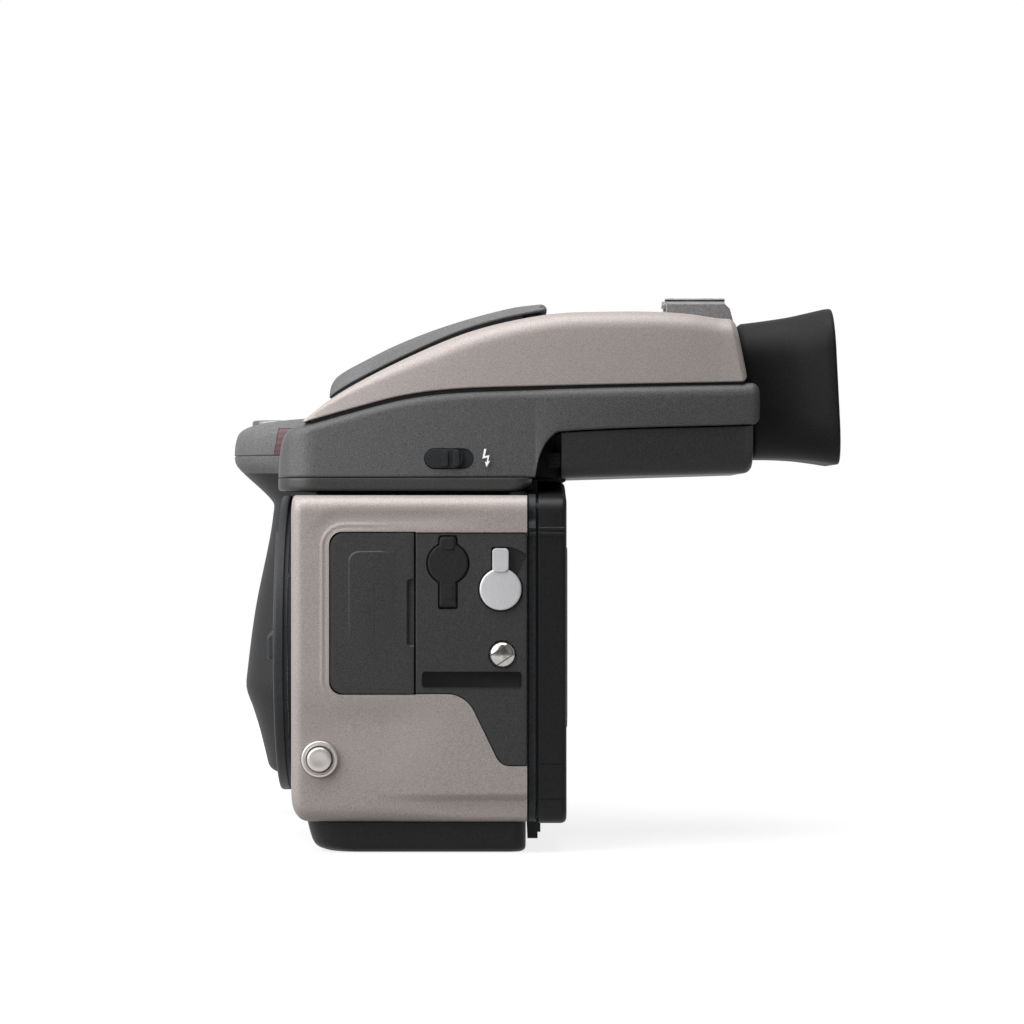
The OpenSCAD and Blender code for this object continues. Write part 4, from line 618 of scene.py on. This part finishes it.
# Front cap
# A moulded bayonet cap over the lens mount: a flat disc with a rounded rim, a skirt that catches the lugs,
# and a bar across its face to turn it by.
cap_black = mottled("cap_moulded_grey", "#242527", "#303133", 0.5, 0.02, 0.5, shine=0.25)
cap = solid("cap_disc", turned([(-31.5, 0.002), (-31.5, 23.4), (-28, 23.4), (-28, 25), (-31.5, 25), (-31.5, 34.6),
    (-30.6, 34.6), (-30.6, 35.1), (-31.5, 35.1), (-31.55, 35.75), (-31.7, 35.85), (-33.1, 35.85), (-33.5, 35.75),
    (-33.78, 35.5), (-33.9, 35.1), (-33.9, 33.2), (-33.6, 32.9), (-33.6, 0.002)], "y", LENS, 128))
bar = [[(x, y, z) for x, z in outline(oblong(-half, low, half, high), [r] * 4)]
    for y, half, low, high, r in ((-33.3, 30, 44.0, 51.6, 1.2), (-34.7, 29.9, 44.1, 50.9, 1.2),
    (-35.3, 29.7, 44.3, 50.2, 1.1), (-35.6, 29.3, 44.7, 49.6, 0.9))]
carve(cap, block((-40, -36, 74.5), (40, -33.4, 90)))
join(cap, skin(bar))
place(cap, cap_black, "front_cap", angle=30)
trim(solid("mount_baffle", turned([(-29.03, 34.25), (-29.03, 35.3), (-30.3, 35.3), (-30.5, 35.1), (-30.5, 34.25)],
    "y", LENS, 128, True)), rubber_and_shade_black, "lens_mount")

# Grip and battery
# The outer part of the grip is the battery: a rubber-coated block that slides down a rail off the fixed core.
grip_rubber = mottled("grip_coated_rubber", "#202021", "#2c2c2d", 0.45, 0.02, 0.55, shine=0.25)
GRIP_FOOT, GRIP_TOP, LATCH = 11.3, 93.7, (-55.5, -14)
grip_front = [(GRIP_FOOT, -12), (21.6, -14.5), (28, -16.4), (33.1, -18.2), (37.6, -18), (54.3, -15.8), (71.6, -12.3),
    (79, -11.2), (82, -11.4), (89.5, -19.2), (91.5, -20.9), (GRIP_TOP, -21.4)]
grip_rear = [(GRIP_FOOT, -13.8), (50, -14.8), (75, -10.8), (85, -5.8), (GRIP_TOP, -4.8)]
grip_out = [(GRIP_FOOT, 8), (35, 5.5), (75, 3.5), (85, 1), (GRIP_TOP, 0)]


def grip_ring(z, front, rear, taper, inset):
    ring = outline(oblong(-103 + taper + inset, front + inset, -48.2 - inset, rear - inset),
        [max(0.5, r - inset) for r in (15, 16, 1.5, 12)], 10)
    return [(x, y, z) for x, y in ring]


def grip_level(z):
    low = z - GRIP_FOOT
    inset = 2.5 - sqrt(max(2.5**2 - (2.5 - low) ** 2, 0)) if low < 2.5 else 0.35 if z == GRIP_TOP else 0
    return grip_ring(z, BODY_FRONT + curve(grip_front, z), BODY_BACK + curve(grip_rear, z), curve(grip_out, z), inset)


levels = [GRIP_FOOT, 11.4, 11.6, 12, 12.6, 13.3, 14.2] + [15.5 + 1.5 * i for i in range(44)]
levels += [81, 81.6, 82.3, 83, 84, 85, 86, 87, 88, 88.8, 89.5, 90.2, 91, 92, 93, 93.4, GRIP_TOP]
handle = skin([grip_level(z) for z in levels])
core = solid("grip_body", handle)
carve(core, block((-110, -60, 0), (-61.65, 60, 78.65)), block((-64, -8.35, 0), (-58.25, 2.35, 75.65)),
    rod("z", 0, 17.2, LATCH, 3.05), rod("x", -106, -101, RIGHT_LUG, 3.05), block((-110, -60, 89.1), (0, 60, 95)))
place(core, grip_rubber, "grip_core", angle=30)
graphite_paint = mottled("lacquer_graphite", "#3a3a3b", "#5c5c5d", 0.26, 0.01, 0.52, shine=0.3, metal=0.15)
head_paint = mottled("lacquer_head_grey", "#4b4b4c", "#717172", 0.26, 0.01, 0.6, shine=0.2)
collar = solid("grip_collar", handle)
carve(collar, block((-110, -60, 89.15), (0, 60, 95)), how="INTERSECT")
trim(collar, head_paint, "grip_core", angle=30)
pack = solid("battery_block", handle)
carve(pack, block((-110, -60, 0), (-62, 60, 78.3)), how="INTERSECT")
join(pack, block((-63, -8, 15.3), (-58.6, 2, 75.3)))
place(pack, grip_rubber, "battery_pack", angle=30)
place(solid("battery_latch", turned([(10.4, 0.002), (10.5, 1.6), (10.4, 2.3), (10.5, 2.75), (10.8, 3.0), (15.5, 3.0)],
    "z", LATCH, 48)), satin_metal, "battery_release")

# Grip head
# A painted metal cap on the grip that holds the controls: shutter button, two knurled wheels, three small
# buttons and the display under its window. The red window of the autofocus lamp faces the front.


def head_level(u):
    lines = [[(0, 21.4), (0.37, 21.0), (0.63, 20.1), (0.77, 18.2), (0.88, 14.5), (0.95, 9.5), (1, 4.5)],
        [(0, 0), (0.37, 0), (0.63, 0.3), (0.77, 1), (0.88, 1.9), (0.95, 2.8), (1, 4.2)]]
    return grip_ring(GRIP_TOP + 10.1 * u, BODY_FRONT - curve(lines[0], u), 21, 0, curve(lines[1], u) if u else 0.35)


def lamp_slot(grow):
    """The place of the lamp's window: its front edge leans back."""
    low, high, rear = 94.0 - grow, 100.7 + grow, -31.1 + grow
    return slab([(-39.0 - grow, low), (rear, low), (rear, high), (-37.8 - grow, high)], -50.1 - grow, -47)


SHUTTER, FRONT_DIAL, REAR_DIAL, BUTTON_X = (-76, -41), (-27.5, 100), (-80, 14.5), -55.5
head_skin = skin([head_level(u) for u in (0, 0.03, 0.1, 0.2, 0.3, 0.4, 0.48, 0.55, 0.62, 0.68, 0.74, 0.79, 0.84, 0.88,
    0.91, 0.94, 0.96, 0.98, 0.99, 1)])
crown = solid("grip_crown", head_skin)
carve(crown, lamp_slot(0.1), rod("z", 95.2, 105, SHUTTER, 5.55), block((-82.55, -32.85, 100), (-69.45, -22.15, 105)),
    rod("x", -82.55, -69.45, FRONT_DIAL, 5.35), rod("z", 95.25, 100.95, REAR_DIAL, 8.35),
    block((-92.2, -16.2, 102.2), (-61.8, 10.2, 105)),
    *[rod("z", 95.7, 105, (BUTTON_X, y), 2.65, 32) for y in (-14, -4, 6)])
place(crown, head_paint, "grip_top_cover", angle=30)
# Clear red acrylic over the lamp: a smooth face with fine ribs behind it, 0.8 mm apart.
lamp_red, tree, shader, at = finish("lamp_red_acrylic", "#54383b", Specular_IOR_Level=0.3, Roughness=0.35)
blend(tree, shader, waves(tree, at, "Z", 0.8), "#4a2e31", "#5b3c3f")
window = solid("lamp_pane", head_skin)
carve(window, lamp_slot(0), how="INTERSECT")
place(window, lamp_red, "af_lamp_window", angle=30)
# Display glass over a grey-green panel whose dots lie 0.6 mm apart.
display_glass, tree, shader, at = finish("display_grey_glass", "#3a4038", Specular_IOR_Level=0.12, Roughness=0.45)
dots = out(tree, "TexVoronoi", Vector=at, Scale=1000 / 0.6, Randomness=0.0)
blend(tree, shader, dots, "#4a5147", "#333931")
place(solid("display_pane", plate(pad(-92, -16, -62, 10, 1.2),
    [(102.2, 0), (103.75, 0), (103.9, -0.08), (103.95, -0.3)], "z")), display_glass, "display_window")
shutter_metal = turned_metal("shutter_turned_alloy", "#7b7b7d", "z", SHUTTER, 0.4)
place(solid("shutter_knob", turned([(96.6, 5.5), (102.7, 5.5), (103.1, 5.35), (103.35, 5.0), (103.4, 4.4),
    (103.2, 3.2), (103.05, 1.6), (103.0, 0.002)], "z", SHUTTER)), shutter_metal, "shutter_button")
for name, y, material in (("power", -14, satin_metal), ("drive", -4, moulded_black), ("menu", 6, moulded_black)):
    place(solid(name + "_knob", turned([(96.5, 2.6), (104.2, 2.6), (104.45, 2.5), (104.58, 2.25), (104.55, 1.6),
        (104.45, 0.8), (104.42, 0.002)], "z", (BUTTON_X, y), 48)), material, name + "_button")


def knurled(name, node, across, centre, low, high, r, count, shaft):
    """A control wheel: a hub with its shaft, and a ring of ribs set out by the node tree."""
    hub = solid(name, turned([(low - shaft[0], 1.2), (low, 1.2), (low, r - 0.9), (low + 0.3, r - 0.55),
        (high - 0.3, r - 0.55), (high, r - 0.9), (high, 1.2), (high + shaft[1], 1.2)], across, centre))
    half = 0.62 * pi * r / count
    rib = solid(name + "_rib", plate(lambda g: outline(oblong(-0.9, -half - g, 0.0 + g, half + g),
        [0.05, 0.22, 0.22, 0.05], 3), [(low + 0.15, -0.1), (low + 0.4, 0), (high - 0.4, 0), (high - 0.15, -0.1)], "z"))
    ring = set_out(name + "_ribs", rib, rubber_and_shade_black, "ring", count, r, (0, 0, 0))
    for v in ring.data.vertices:
        x, y, z = v.co
        v.co = spot(across, z, (x + centre[0] / 1000, y + centre[1] / 1000))
    place(hub, rubber_and_shade_black, node)
    trim(ring, rubber_and_shade_black, node)


knurled("front_dial", "front_wheel", "x", FRONT_DIAL, -82.2, -69.8, 5.0, 30, (2.4, 2.4))
knurled("rear_dial", "rear_wheel", "z", REAR_DIAL, 95.6, 100.6, 8.0, 44, (1.3, 1.0))

# Finder housings
# The removable prism finder is two painted castings over a base frame: a graphite lower housing whose cheeks run
# back to the eyepiece, and a taupe top cover set in from it, with a dark cover under the eyepiece tube.
FRONT, SEAT, SWITCH_Z = -32.7, 84.1, 91.65
EYE, DIOPTER = (0, 108.5), (67.9, 104.1)
seam_line = [(0, 4.9), (0.25, 8), (0.8, 11.4), (1.7, 13.3), (3.3, 14.8), (6.3, 15.7), (14.9, 18.2), (28.9, 21.9),
    (40.5, 23.5), (56.9, 24.2), (112.6, 25.6)]
ledge_line = [(60.4, 3.1), (60.9, 6), (61.6, 8.5), (63.5, 11.9), (66.3, 13.9), (112.6, 15.8)]
roof_line = [(6.3, 16.6), (14.3, 22.7), (28.5, 30.4), (45.1, 37.5), (62.8, 41.6), (75.8, 42.4), (91.2, 42.4),
    (107.7, 41.0)]


def finder_half(d):
    if d < 9:
        return 33.5 + sqrt(81 - (9 - d) ** 2)
    return 42.5 - 9 * (max(d - 18, 0) / 94.6) ** 2


def finder_ring(low_x, top_x, z0, z1, r, y, slope=0.0, low=0.35):
    low = min(low, 0.3 * (z1 - z0))
    ring = outline([(-low_x, z0), (low_x, z0), (top_x, z1), (-top_x, z1)], [low, low, r, r], 8, (8, 6, 8, 6))
    return [(x, y - slope * (z - z0), z) for x, z in ring]


def housing_ring(d, inset=0.0):
    x, z1 = finder_half(d) - inset, SEAT + curve(seam_line, d) - inset
    z0 = SEAT + (3.1 if d <= 60.4 else curve(ledge_line, d)) + inset
    turn = ramp(48.4, 112.6, d)
    return finder_ring(x - 2 * turn, x - 1.5 * (1 - turn), z0, z1, min(3, 0.45 * (z1 - z0)), FRONT + d, low=0.6)


def cover_ring(d, y, slope=0.0, inset=0.0):
    z0, z1 = SEAT + curve(seam_line, d) + 0.28 + inset, SEAT + curve(roof_line, d) - inset
    h, x = z1 - z0, finder_half(d) - 1.8 - inset
    return finder_ring(x, x - 0.12 * h - 0.3, z0, z1, min(5, 0.45 * h), y, slope)


def sole_ring(z, grow):
    back = 24 + sqrt(max(9 - max(87.1 - z, 0) ** 2, 0))
    ring = outline(oblong(-42.5 - grow, FRONT - grow, 42.5 + grow, back + grow),
        [9 + grow, 9 + grow, 4 + grow, 4 + grow], 10)
    return [(x, y, z) for x, y in ring]


base = solid("finder_sole", skin([sole_ring(z, g) for z, g in ((SEAT, -0.8), (84.2, -0.45), (84.5, -0.12), (84.9, 0),
    (85.4, 0), (86, 0), (86.8, 0), (87.05, -0.1), (87.2, -0.4))]))
carve(base, block((-22, -18.8, 83), (22, 16.6, 89)))
sole_paint = mottled("lacquer_dark_sole", "#2c2c2c", "#3d3d3e", 0.26, 0.01, 0.45, metal=0.3)
place(base, sole_paint, "finder_base")
# A black block behind the rounded rear of the base: painted shade where the strip rounds away.
trim(solid("finder_heel", plate(lambda g: outline(oblong(-38.5 - g, 20, 38.5 + g, 26.98 + g), [0.5] * 4),
    [(84.12, -0.3), (84.4, 0), (87.1, 0)], "z")), flap_and_shade_black, "finder_base")
stations = [0, 0.1, 0.25, 0.45, 0.7, 1, 1.4, 1.9, 2.5, 3.2, 4.2, 5.2, 6.3, 7.5, 9, 11, 13, *range(15, 52, 2), 52.5, 54,
    55.5, 57, 58.5, 59.6, 60.4]
stations += [60.4 + 0.25 * i for i in range(1, 26)] + [67.5 + 1.5 * i for i in range(8)] + [*range(80, 109, 4), 110.5]
lower = solid("finder_lower_case", skin([housing_ring(d) for d in stations]
    + [housing_ring(111.6 + 2 * sin(a), 2 * (1 - cos(a))) for a in rounding]))
carve(lower, block((-36, -25.2, SEAT), (36, 20, 126.5)), block((-27, 18, SEAT), (27, 90, 126.5)),
    *[rod("x", 40.9, 44, (y, SWITCH_Z), 2.45, 40) for y in (4.25, 10.95)],
    block((40.9, 4.25, 89.2), (44, 10.95, 94.1)), rod("x", -42, -33.14, DIOPTER, 4.35),
    rod("x", -34, -26, DIOPTER, 1.25))
place(lower, graphite_paint, "finder_housing", angle=32)
stations = [6.3, 6.6, 7, 7.5, 8.2, 9, 10, 11, 12.5, 14.3, *range(16, 107, 2), 107.5]
upper = solid("finder_upper_case", skin([cover_ring(d, FRONT + d, 0.19 * ramp(96, 108, d)) for d in stations]
    + [cover_ring(108 + 1.5 * sin(a), FRONT + 109 + 1.5 * sin(a), 0.19, 1.5 * (1 - cos(a))) for a in rounding[1:]]))


def hollow(half, start, stop):
    """The room under the roof between two distances behind the finder's front."""
    steps = [start + (stop - start) * i / 8 for i in range(9)]
    roof = [(FRONT + d, SEAT + curve(roof_line, d) - 2.6) for d in steps[::-1]]
    return slab([(FRONT + start, SEAT + 5), (FRONT + stop, SEAT + 5)] + roof, -half, half)


carve(upper, hollow(30, 14.9, 56.4), hollow(24, 54.4, 106.6),
    block((-18, FRONT + 14.6, 94.1), (18, FRONT + 32.7, 126.5)), rod("y", FRONT + 78.4, FRONT + 112.6, EYE, 15.2))
join(upper, block((-3.5, 28.1, 124.3), (3.5, 30.5, 127.49)), rod("x", -3.5, 3.5, (29.3, 127.49), 1.2, 32))
place(upper, taupe_paint, "finder_top_cover", angle=32)


# Rings of a thin dark strip along a line; the strips drawn from them are painted shade in seams.
def shade_strip_ring(d, x, line, low, high):
    z = SEAT + curve(line, d)
    return [spot("y", FRONT + d, p) for p in oblong(-x, z + low, x, z + high)]


# A dark strip inside the seam between the housing and the top cover: painted shade that draws the seam as a shadow
# line.
strip = solid("finder_seam_strip", skin([shade_strip_ring(d, finder_half(d) - 2.3, seam_line, -0.6, 1.0)
    for d in range(8, 111, 2)]))
carve(strip, block((-27, -20, SEAT), (27, 90, 126.5)))
trim(strip, flap_and_shade_black, "finder_housing")
neck = solid("finder_neck", plate(lambda g: outline(oblong(-28.2 - g, 25.2, 28.2 + g, 33.9), [0.5] * 4),
    [(87.0, -0.5), (87.6, 0), (98, 0)], "z"))
join(neck, block((-27.5, 28.5, 86.45), (27.5, 35.0, 90)))
trim(neck, moulded_black, "finder_tube_cover")
pocket_line = [(-17.4, 99.1), (-5.8, 108.4), (-0.1, 110.95), (-0.1, 113.5), (-0.4, 113.5), (-0.4, 111.27),
    (-5.8, 108.9), (-17.4, 99.6)]
trim(solid("flash_pocket", slab(pocket_line, -29, 29)), flap_and_shade_black, "finder_housing")
# A soft dark strip that closes the gap between the shell's top and the finder's rear: painted shade in that gap.
trim(solid("finder_gasket", slab(outline(oblong(-41, 21.63, 41, 25.75), [1.5] * 4), 82.6, 83.95, "z")), rubber_and_shade_black,
    "body_shell")


def tube_ring(d):
    """The cover under the eyepiece tube; it rises a little to the back and rounds up at its end."""
    end = max(d - 109.7, 0)
    lift = 2.2 - sqrt(max(2.2**2 - end * end, 0))
    z0, z1 = SEAT + 2.9 + 1.4 * (d - 63.2) / 48.7 + lift, SEAT + min(curve(ledge_line, d), 60) - 0.3
    half = 31.5 if d < 66.6 else max(finder_half(d) - 2 * ramp(48.4, 112.6, d) - 0.6, 31.55)
    r = min(5, 0.6 * (z1 - z0))
    ring = outline(oblong(-half, z0, half, z1), [r, r, 0.3, 0.3], 8)
    return [(x, FRONT + d, z) for x, z in ring]


tube = solid("finder_tube_case", skin([tube_ring(d) for d in (65.6, 65.8, 66.2, 66.59, 66.61, 67, 68, 70, 72,
    *range(76, 105, 4), 107, 109.7, 110.2, 110.7, 111.1, 111.5, 111.75, 111.89)]))
carve(tube, block((-28.5, 33.5, 90.5), (28.5, 76.2, 104.1)), rod("y", 75.2, 80.5, EYE, 15.2))
tube_black = mottled("tube_moulded_black", "#242425", "#323233", 0.45, 0.016, 0.48, shine=0.25)
place(tube, tube_black, "finder_tube_cover", angle=32)

# Prism and eyepiece
# A roof prism of clear glass, a black eyepiece barrel with its lens, and a soft flared rubber eyecup.
clear_glass, tree, shader, at = finish("glass_coated", "#e8eef0", Roughness=0.02, Transmission_Weight=1.0, IOR=1.52,
    Coat_Weight=0.3)
blend(tree, shader, out(tree, "TexNoise", Vector=at, Scale=1000 / 18), "#e2eaee", "#eef2f3")
soften("finder_prism", clear_glass, 0.3)
paint(frame["nodes"]["eyepiece_lens"].data, clear_glass)
soften("eyepiece_barrel", moulded_black, 0.3)
eyecup_rubber = mottled("eyecup_black_rubber", "#111112", "#19191b", 0.6, 0.012, 0.6, shine=0.15)
# The eyecup's half width, lower and upper edge and lean, by distance behind the finder's front.
cup_lines = [[(111, 22.3), (116.4, 22.2), (122.9, 23), (128.3, 25), (131.1, 26), (132.6, 26)],
    [(111, -16.5), (116.4, -16.5), (122.9, -16.8), (128.3, -17.4), (131.1, -17.8), (132.6, -18)],
    [(111, 15.9), (116.4, 16.6), (122.9, 17.6), (128.3, 18.8), (131.1, 19.4), (132.6, 19.5)],
    [(111, 0.117), (116.4, 0.1), (122.9, 0.08), (128.3, 0.06), (132.6, 0.05)]]
CUP_BORE = 15.05


def cup_ring(d, inset):
    half, low, high, slope = [curve(line, d) for line in cup_lines]
    ring = outline(oblong(-half + inset, low + inset, half - inset, high - inset), [10 - 0.6 * inset] * 4, 12,
        (6, 6, 6, 6))
    return [(x, FRONT + d - slope * z, EYE[1] + z) for x, z in ring]


def cup_bore(d):
    ring = [(x, z - EYE[1]) for x, y, z in cup_ring(d, 0)]
    return [(x * CUP_BORE / hypot(x, z), FRONT + d, EYE[1] + z * CUP_BORE / hypot(x, z)) for x, z in ring]


outer = [cup_ring(111 + 20.8 * i / 24, 0.5 if i == 0 else 0) for i in range(25)]
lip = [cup_ring(131.9 + 0.7 * sin(a), 0.7 * (1 - cos(a))) for a in rounding[1:]]
lip += [cup_ring(131.9 + 0.7 * sin(a), 2.2 - 0.7 * (1 - cos(a))) for a in rounding[::-1]]
inner = [cup_ring(131 - 15 * i / 16, 2.2) for i in range(1, 17)]
place(solid("eyecup_flare", skin(outer + lip + inner + [cup_bore(116), cup_bore(111)], loop=True)), eyecup_rubber,
    "eyecup", angle=50)

# Accessory shoe
# A moulded base screwed to the finder's roof and the folded, polished steel rails that hold an accessory's foot.
shoe_base = mottled("shoe_cast_grey", "#6a696a", "#8b898a", 0.42, 0.02, 0.42, metal=0.3)
soften("hot_shoe_base", shoe_base, 0.15)
rail_steel = mottled("rail_polished_steel", "#c0c1c3", "#d2d3d4", 2.5, 0.001, 0.28, metal=0.5)
edge = [(6.3, 130.05), (9.35, 130.05), (9.35, 129.45), (11.2, 129.45), (11.2, 130.02), (10.1, 130.06), (10.1, 130.36),
    (11.2, 130.4), (11.2, 130.85), (11.05, 131.0), (6.3, 131.0)]
rails = [plate(lambda g: [(side * x, z) for x, z in edge], [(59.2, 0), (59.3, 0), (73.6, 0), (73.7, 0)], "y")
    for side in (-1, 1)]
(points, faces), (more, others) = rails
faces += [tuple(i + len(points) for i in face) for face in others]
place(solid("shoe_rail_pair", (points + more, faces)), rail_steel, "hot_shoe_rails", angle=25)
# Dark strips in the rails' grooves: painted shade where the grooves lie in shadow.
for name, low, high in (("right", -10.7, -9.9), ("left", 9.9, 10.7)):
    trim(solid("shoe_spring_" + name, block((low, 59.35, 130.09), (high, 73.55, 130.33))), flap_and_shade_black,
        "hot_shoe_rails", soft=0.05)

# Flash
# The flash sits under a painted lid that swings up on a steel pin; a sliding switch on the left side frees it.
lid_line = [(11.4, 23.6), (11.7, 25.1), (12.3, 26.3), (13.2, 27.4), (15.5, 28.9), (18.2, 30.3), (28.2, 35.2),
    (40.2, 39.7), (54.5, 43.6), (62.0, 44.6)]


def lid_ring(d):
    x, end = 25 - 7 * (1 - ramp(3.5, 21.5, d)), max(d - 61.7, 0)
    top_z = SEAT + curve(lid_line, d) - 1.65 + sqrt(max(1.65**2 - end**2, 0))
    low_z = SEAT + curve(roof_line, d) + 1.75 - 0.45 * ramp(12, 24, d)
    return finder_ring(x, x - 1.5, low_z, top_z, min(2.2, 0.45 * (top_z - low_z)), FRONT + d)


stations = [11.4, 11.45, 11.5, 11.6, 11.7, 11.9, 12.1, 12.4, 12.8, 13.2, 13.9, 14.6, 15.5, 16.5, 18,
    *range(20, 59, 2), 60, 61, 61.6, 62.2, 62.5, 62.8, 63.05, 63.2, 63.28]
top = solid("flash_top", skin([lid_ring(d) for d in stations]))
carve(top, block((-3.85, 26.4, 123.1), (3.85, 32.2, 131.8)), rod("x", -24.1, 24.1, (29.3, 127.487), 0.65, 24))
lid_paint = mottled("lacquer_lid_grey", "#4a4a4b", "#636364", 0.26, 0.01, 0.5, shine=0.3, metal=0.15)
place(top, lid_paint, "flash_lid", angle=32)
# A dark strip under the lid's lower edge: painted shade that draws the shadow line below the lid.
lid_shade_rings = skin([shade_strip_ring(d, 24.3 - 7 * (1 - ramp(3.5, 21.5, d)), roof_line, 0.3, 1.6)
    for d in [12.2, 13, 14, *range(16, 57, 2), 57.5]])
trim(solid("flash_lid_seal", lid_shade_rings), rubber_and_shade_black, "flash_lid")
# Clear ribbed acrylic before the tube, ribs 1 mm apart.
flash_clear, tree, shader, at = finish("flash_ribbed_acrylic", "#dfe3e4", Roughness=0.15, Coat_Weight=0.3)
emboss(tree, shader, waves(tree, at, "X", 1.0), 1.5e-4)
soften("flash_head", flash_clear, 0.3)
soften("flash_hinge_pin", bright_steel, 0.2)


def pill(y0, y1, z, half):
    """Outline with round ends between two places."""
    ends = [(y, radians(start + 15 * k)) for y, start in ((y1, -90), (y0, 90)) for k in range(13)]
    return lambda g: [(y + (half + g) * cos(a), z + (half + g) * sin(a)) for y, a in ends]


slider = solid("switch_slider", plate(pill(4.25, 8.65, SWITCH_Z, 2.25),
    [(41.1, 0), (42.1, 0), (42.25, -0.1), (42.3, -0.3)]))
join(slider, *[plate(pad(y, 89.75, y + 1.5, 93.55, 0.5), [(42, 0), (42.7, 0), (42.85, -0.1), (42.9, -0.3)])
    for y in (6.0, 8.6)])
place(slider, moulded_black, "flash_switch")
trim(solid("switch_pan", slab(pill(4.25, 10.95, SWITCH_Z, 2.4)(0), 40.6, 40.96)), moulded_black, "finder_housing")
CHEEK_X, CHEEK_FOOT, CHEEK_LEAN = 42.44, 87.2, 0.0722
bolt = [(15.8, 93.9), (16.3, 93.9), (15.95, 92.2), (17.05, 92.5), (16.75, 91.0), (17.25, 91.15), (16.35, 89.7),
    (15.95, 91.0), (16.4, 90.85), (16.6, 91.9), (15.4, 91.65)]
sign = solid("flash_sign", skin([[(CHEEK_X - CHEEK_LEAN * (z - CHEEK_FOOT) + lift, y, z) for y, z in bolt]
    for lift in (-0.1, 0.05)]))
print_white = mottled("sign_printed_white", "#e4e4e4", "#f0f0f0", 0.3, 0.004, 0.5)
trim(sign, print_white, "finder_housing")

# Diopter wheel and finder release
# A small knurled wheel on the finder's right cheek sets the eyepiece; a black key on the left frees the finder.
knurled("diopter_dial", "diopter_wheel", "x", DIOPTER, -36.54, -33.34, 4.0, 26, (0.0, 3.4))
key = solid("release_key", plate(pad(30.5, 89.5, 33.7, 93.1, 0.6),
    [(33.7, 0), (36.4, 0), (36.6, -0.1), (36.7, -0.35)]))
join(key, rod("x", 30.3, 34, (32.1, 91.3), 1.2, 32))
carve(key, *[block((36.45, 30, z), (37, 34.2, z + 0.35)) for z in (90.2, 91.1, 92.0)])
place(key, flap_and_shade_black, "finder_release_button")

# Studio
# A pale floor that keeps the shadow, a white surround and three soft lamps: a large one over the front left, one on
# top and a weak one behind. The view is the photo's, from 0.9 m.


def most(tree, socket, *others):
    """The greatest of some values."""
    for other in others:
        socket = out(tree, "Math", operation="MAXIMUM", in0=socket, in1=other)
    return socket


scene = bpy.context.scene
scene.view_settings.view_transform = "Standard"
floor = solid("floor", rod("z", -1.2, -0.1, (0, 0), 520, 96))
paper, tree, shader, at = finish("floor_paper", "#707070", Roughness=0.9, Emission_Color=(1, 1, 1, 1))
rays = add(tree, "LightPath").outputs
seen = most(tree, rays["Is Camera Ray"], rays["Is Glossy Ray"], rays["Is Transmission Ray"])
away = add(tree, "VectorMath", operation="LENGTH", in0=at).outputs["Value"]
glow = out(tree, "MapRange", Value=away, From_Min=0.08, From_Max=0.34, To_Min=0.82, To_Max=1.0)
strength = out(tree, "Math", operation="MULTIPLY", in0=seen, in1=glow)
feed(shader, "Emission Strength", strength)
floor.data.materials.append(paper)

world = bpy.data.worlds.new("studio_white")
scene.world = world
world.use_nodes = True
tree = world.node_tree
tree.nodes.clear()
rays = add(tree, "LightPath").outputs
side = out(tree, "SeparateXYZ", Vector=add(tree, "TexCoord").outputs["Generated"])
backdrop = out(tree, "MapRange", Value=side, From_Min=-0.3, From_Max=0.3, To_Min=1.0, To_Max=0.0)
mirrored = out(tree, "Math", operation="MULTIPLY", in0=rays["Is Glossy Ray"], in1=backdrop)
seen = most(tree, rays["Is Camera Ray"], rays["Is Transmission Ray"], mirrored)
strength = out(tree, "MapRange", Value=seen, To_Min=0.14, To_Max=1.0)
light = out(tree, "Background", Color=(1, 1, 1, 1), Strength=strength)
add(tree, "OutputWorld", Surface=light)


def lamp(name, place_at, aim, size, power):
    """A square soft lamp that looks at a point."""
    data = bpy.data.lights.new(name, "AREA")
    data.size, data.energy = size, power
    obj = show(name, data)
    obj.location = place_at
    obj.rotation_euler = (Vector(aim) - Vector(place_at)).to_track_quat("-Z", "Y").to_euler()


lamp("key", (0.22, -0.32, 0.31), (0.0, 0.0, 0.07), 0.5, 3.85)
lamp("top", (0.12, 0.02, 0.66), (0.0, 0.03, 0.1), 0.45, 3.8)
lamp("fill", (0.9, 0.7, 0.5), (0.0, 0.03, 0.07), 0.8, 0.5)

lens = bpy.data.cameras.new("view")
lens.sensor_width, lens.lens = 36.0, 129.4
lens.clip_start, lens.clip_end = 0.01, 20.0
camera = show("view", lens)
camera.location = (0.9, 0.0223, 0.0792)
camera.rotation_euler = (pi / 2, 0, pi / 2)
scene.camera = camera
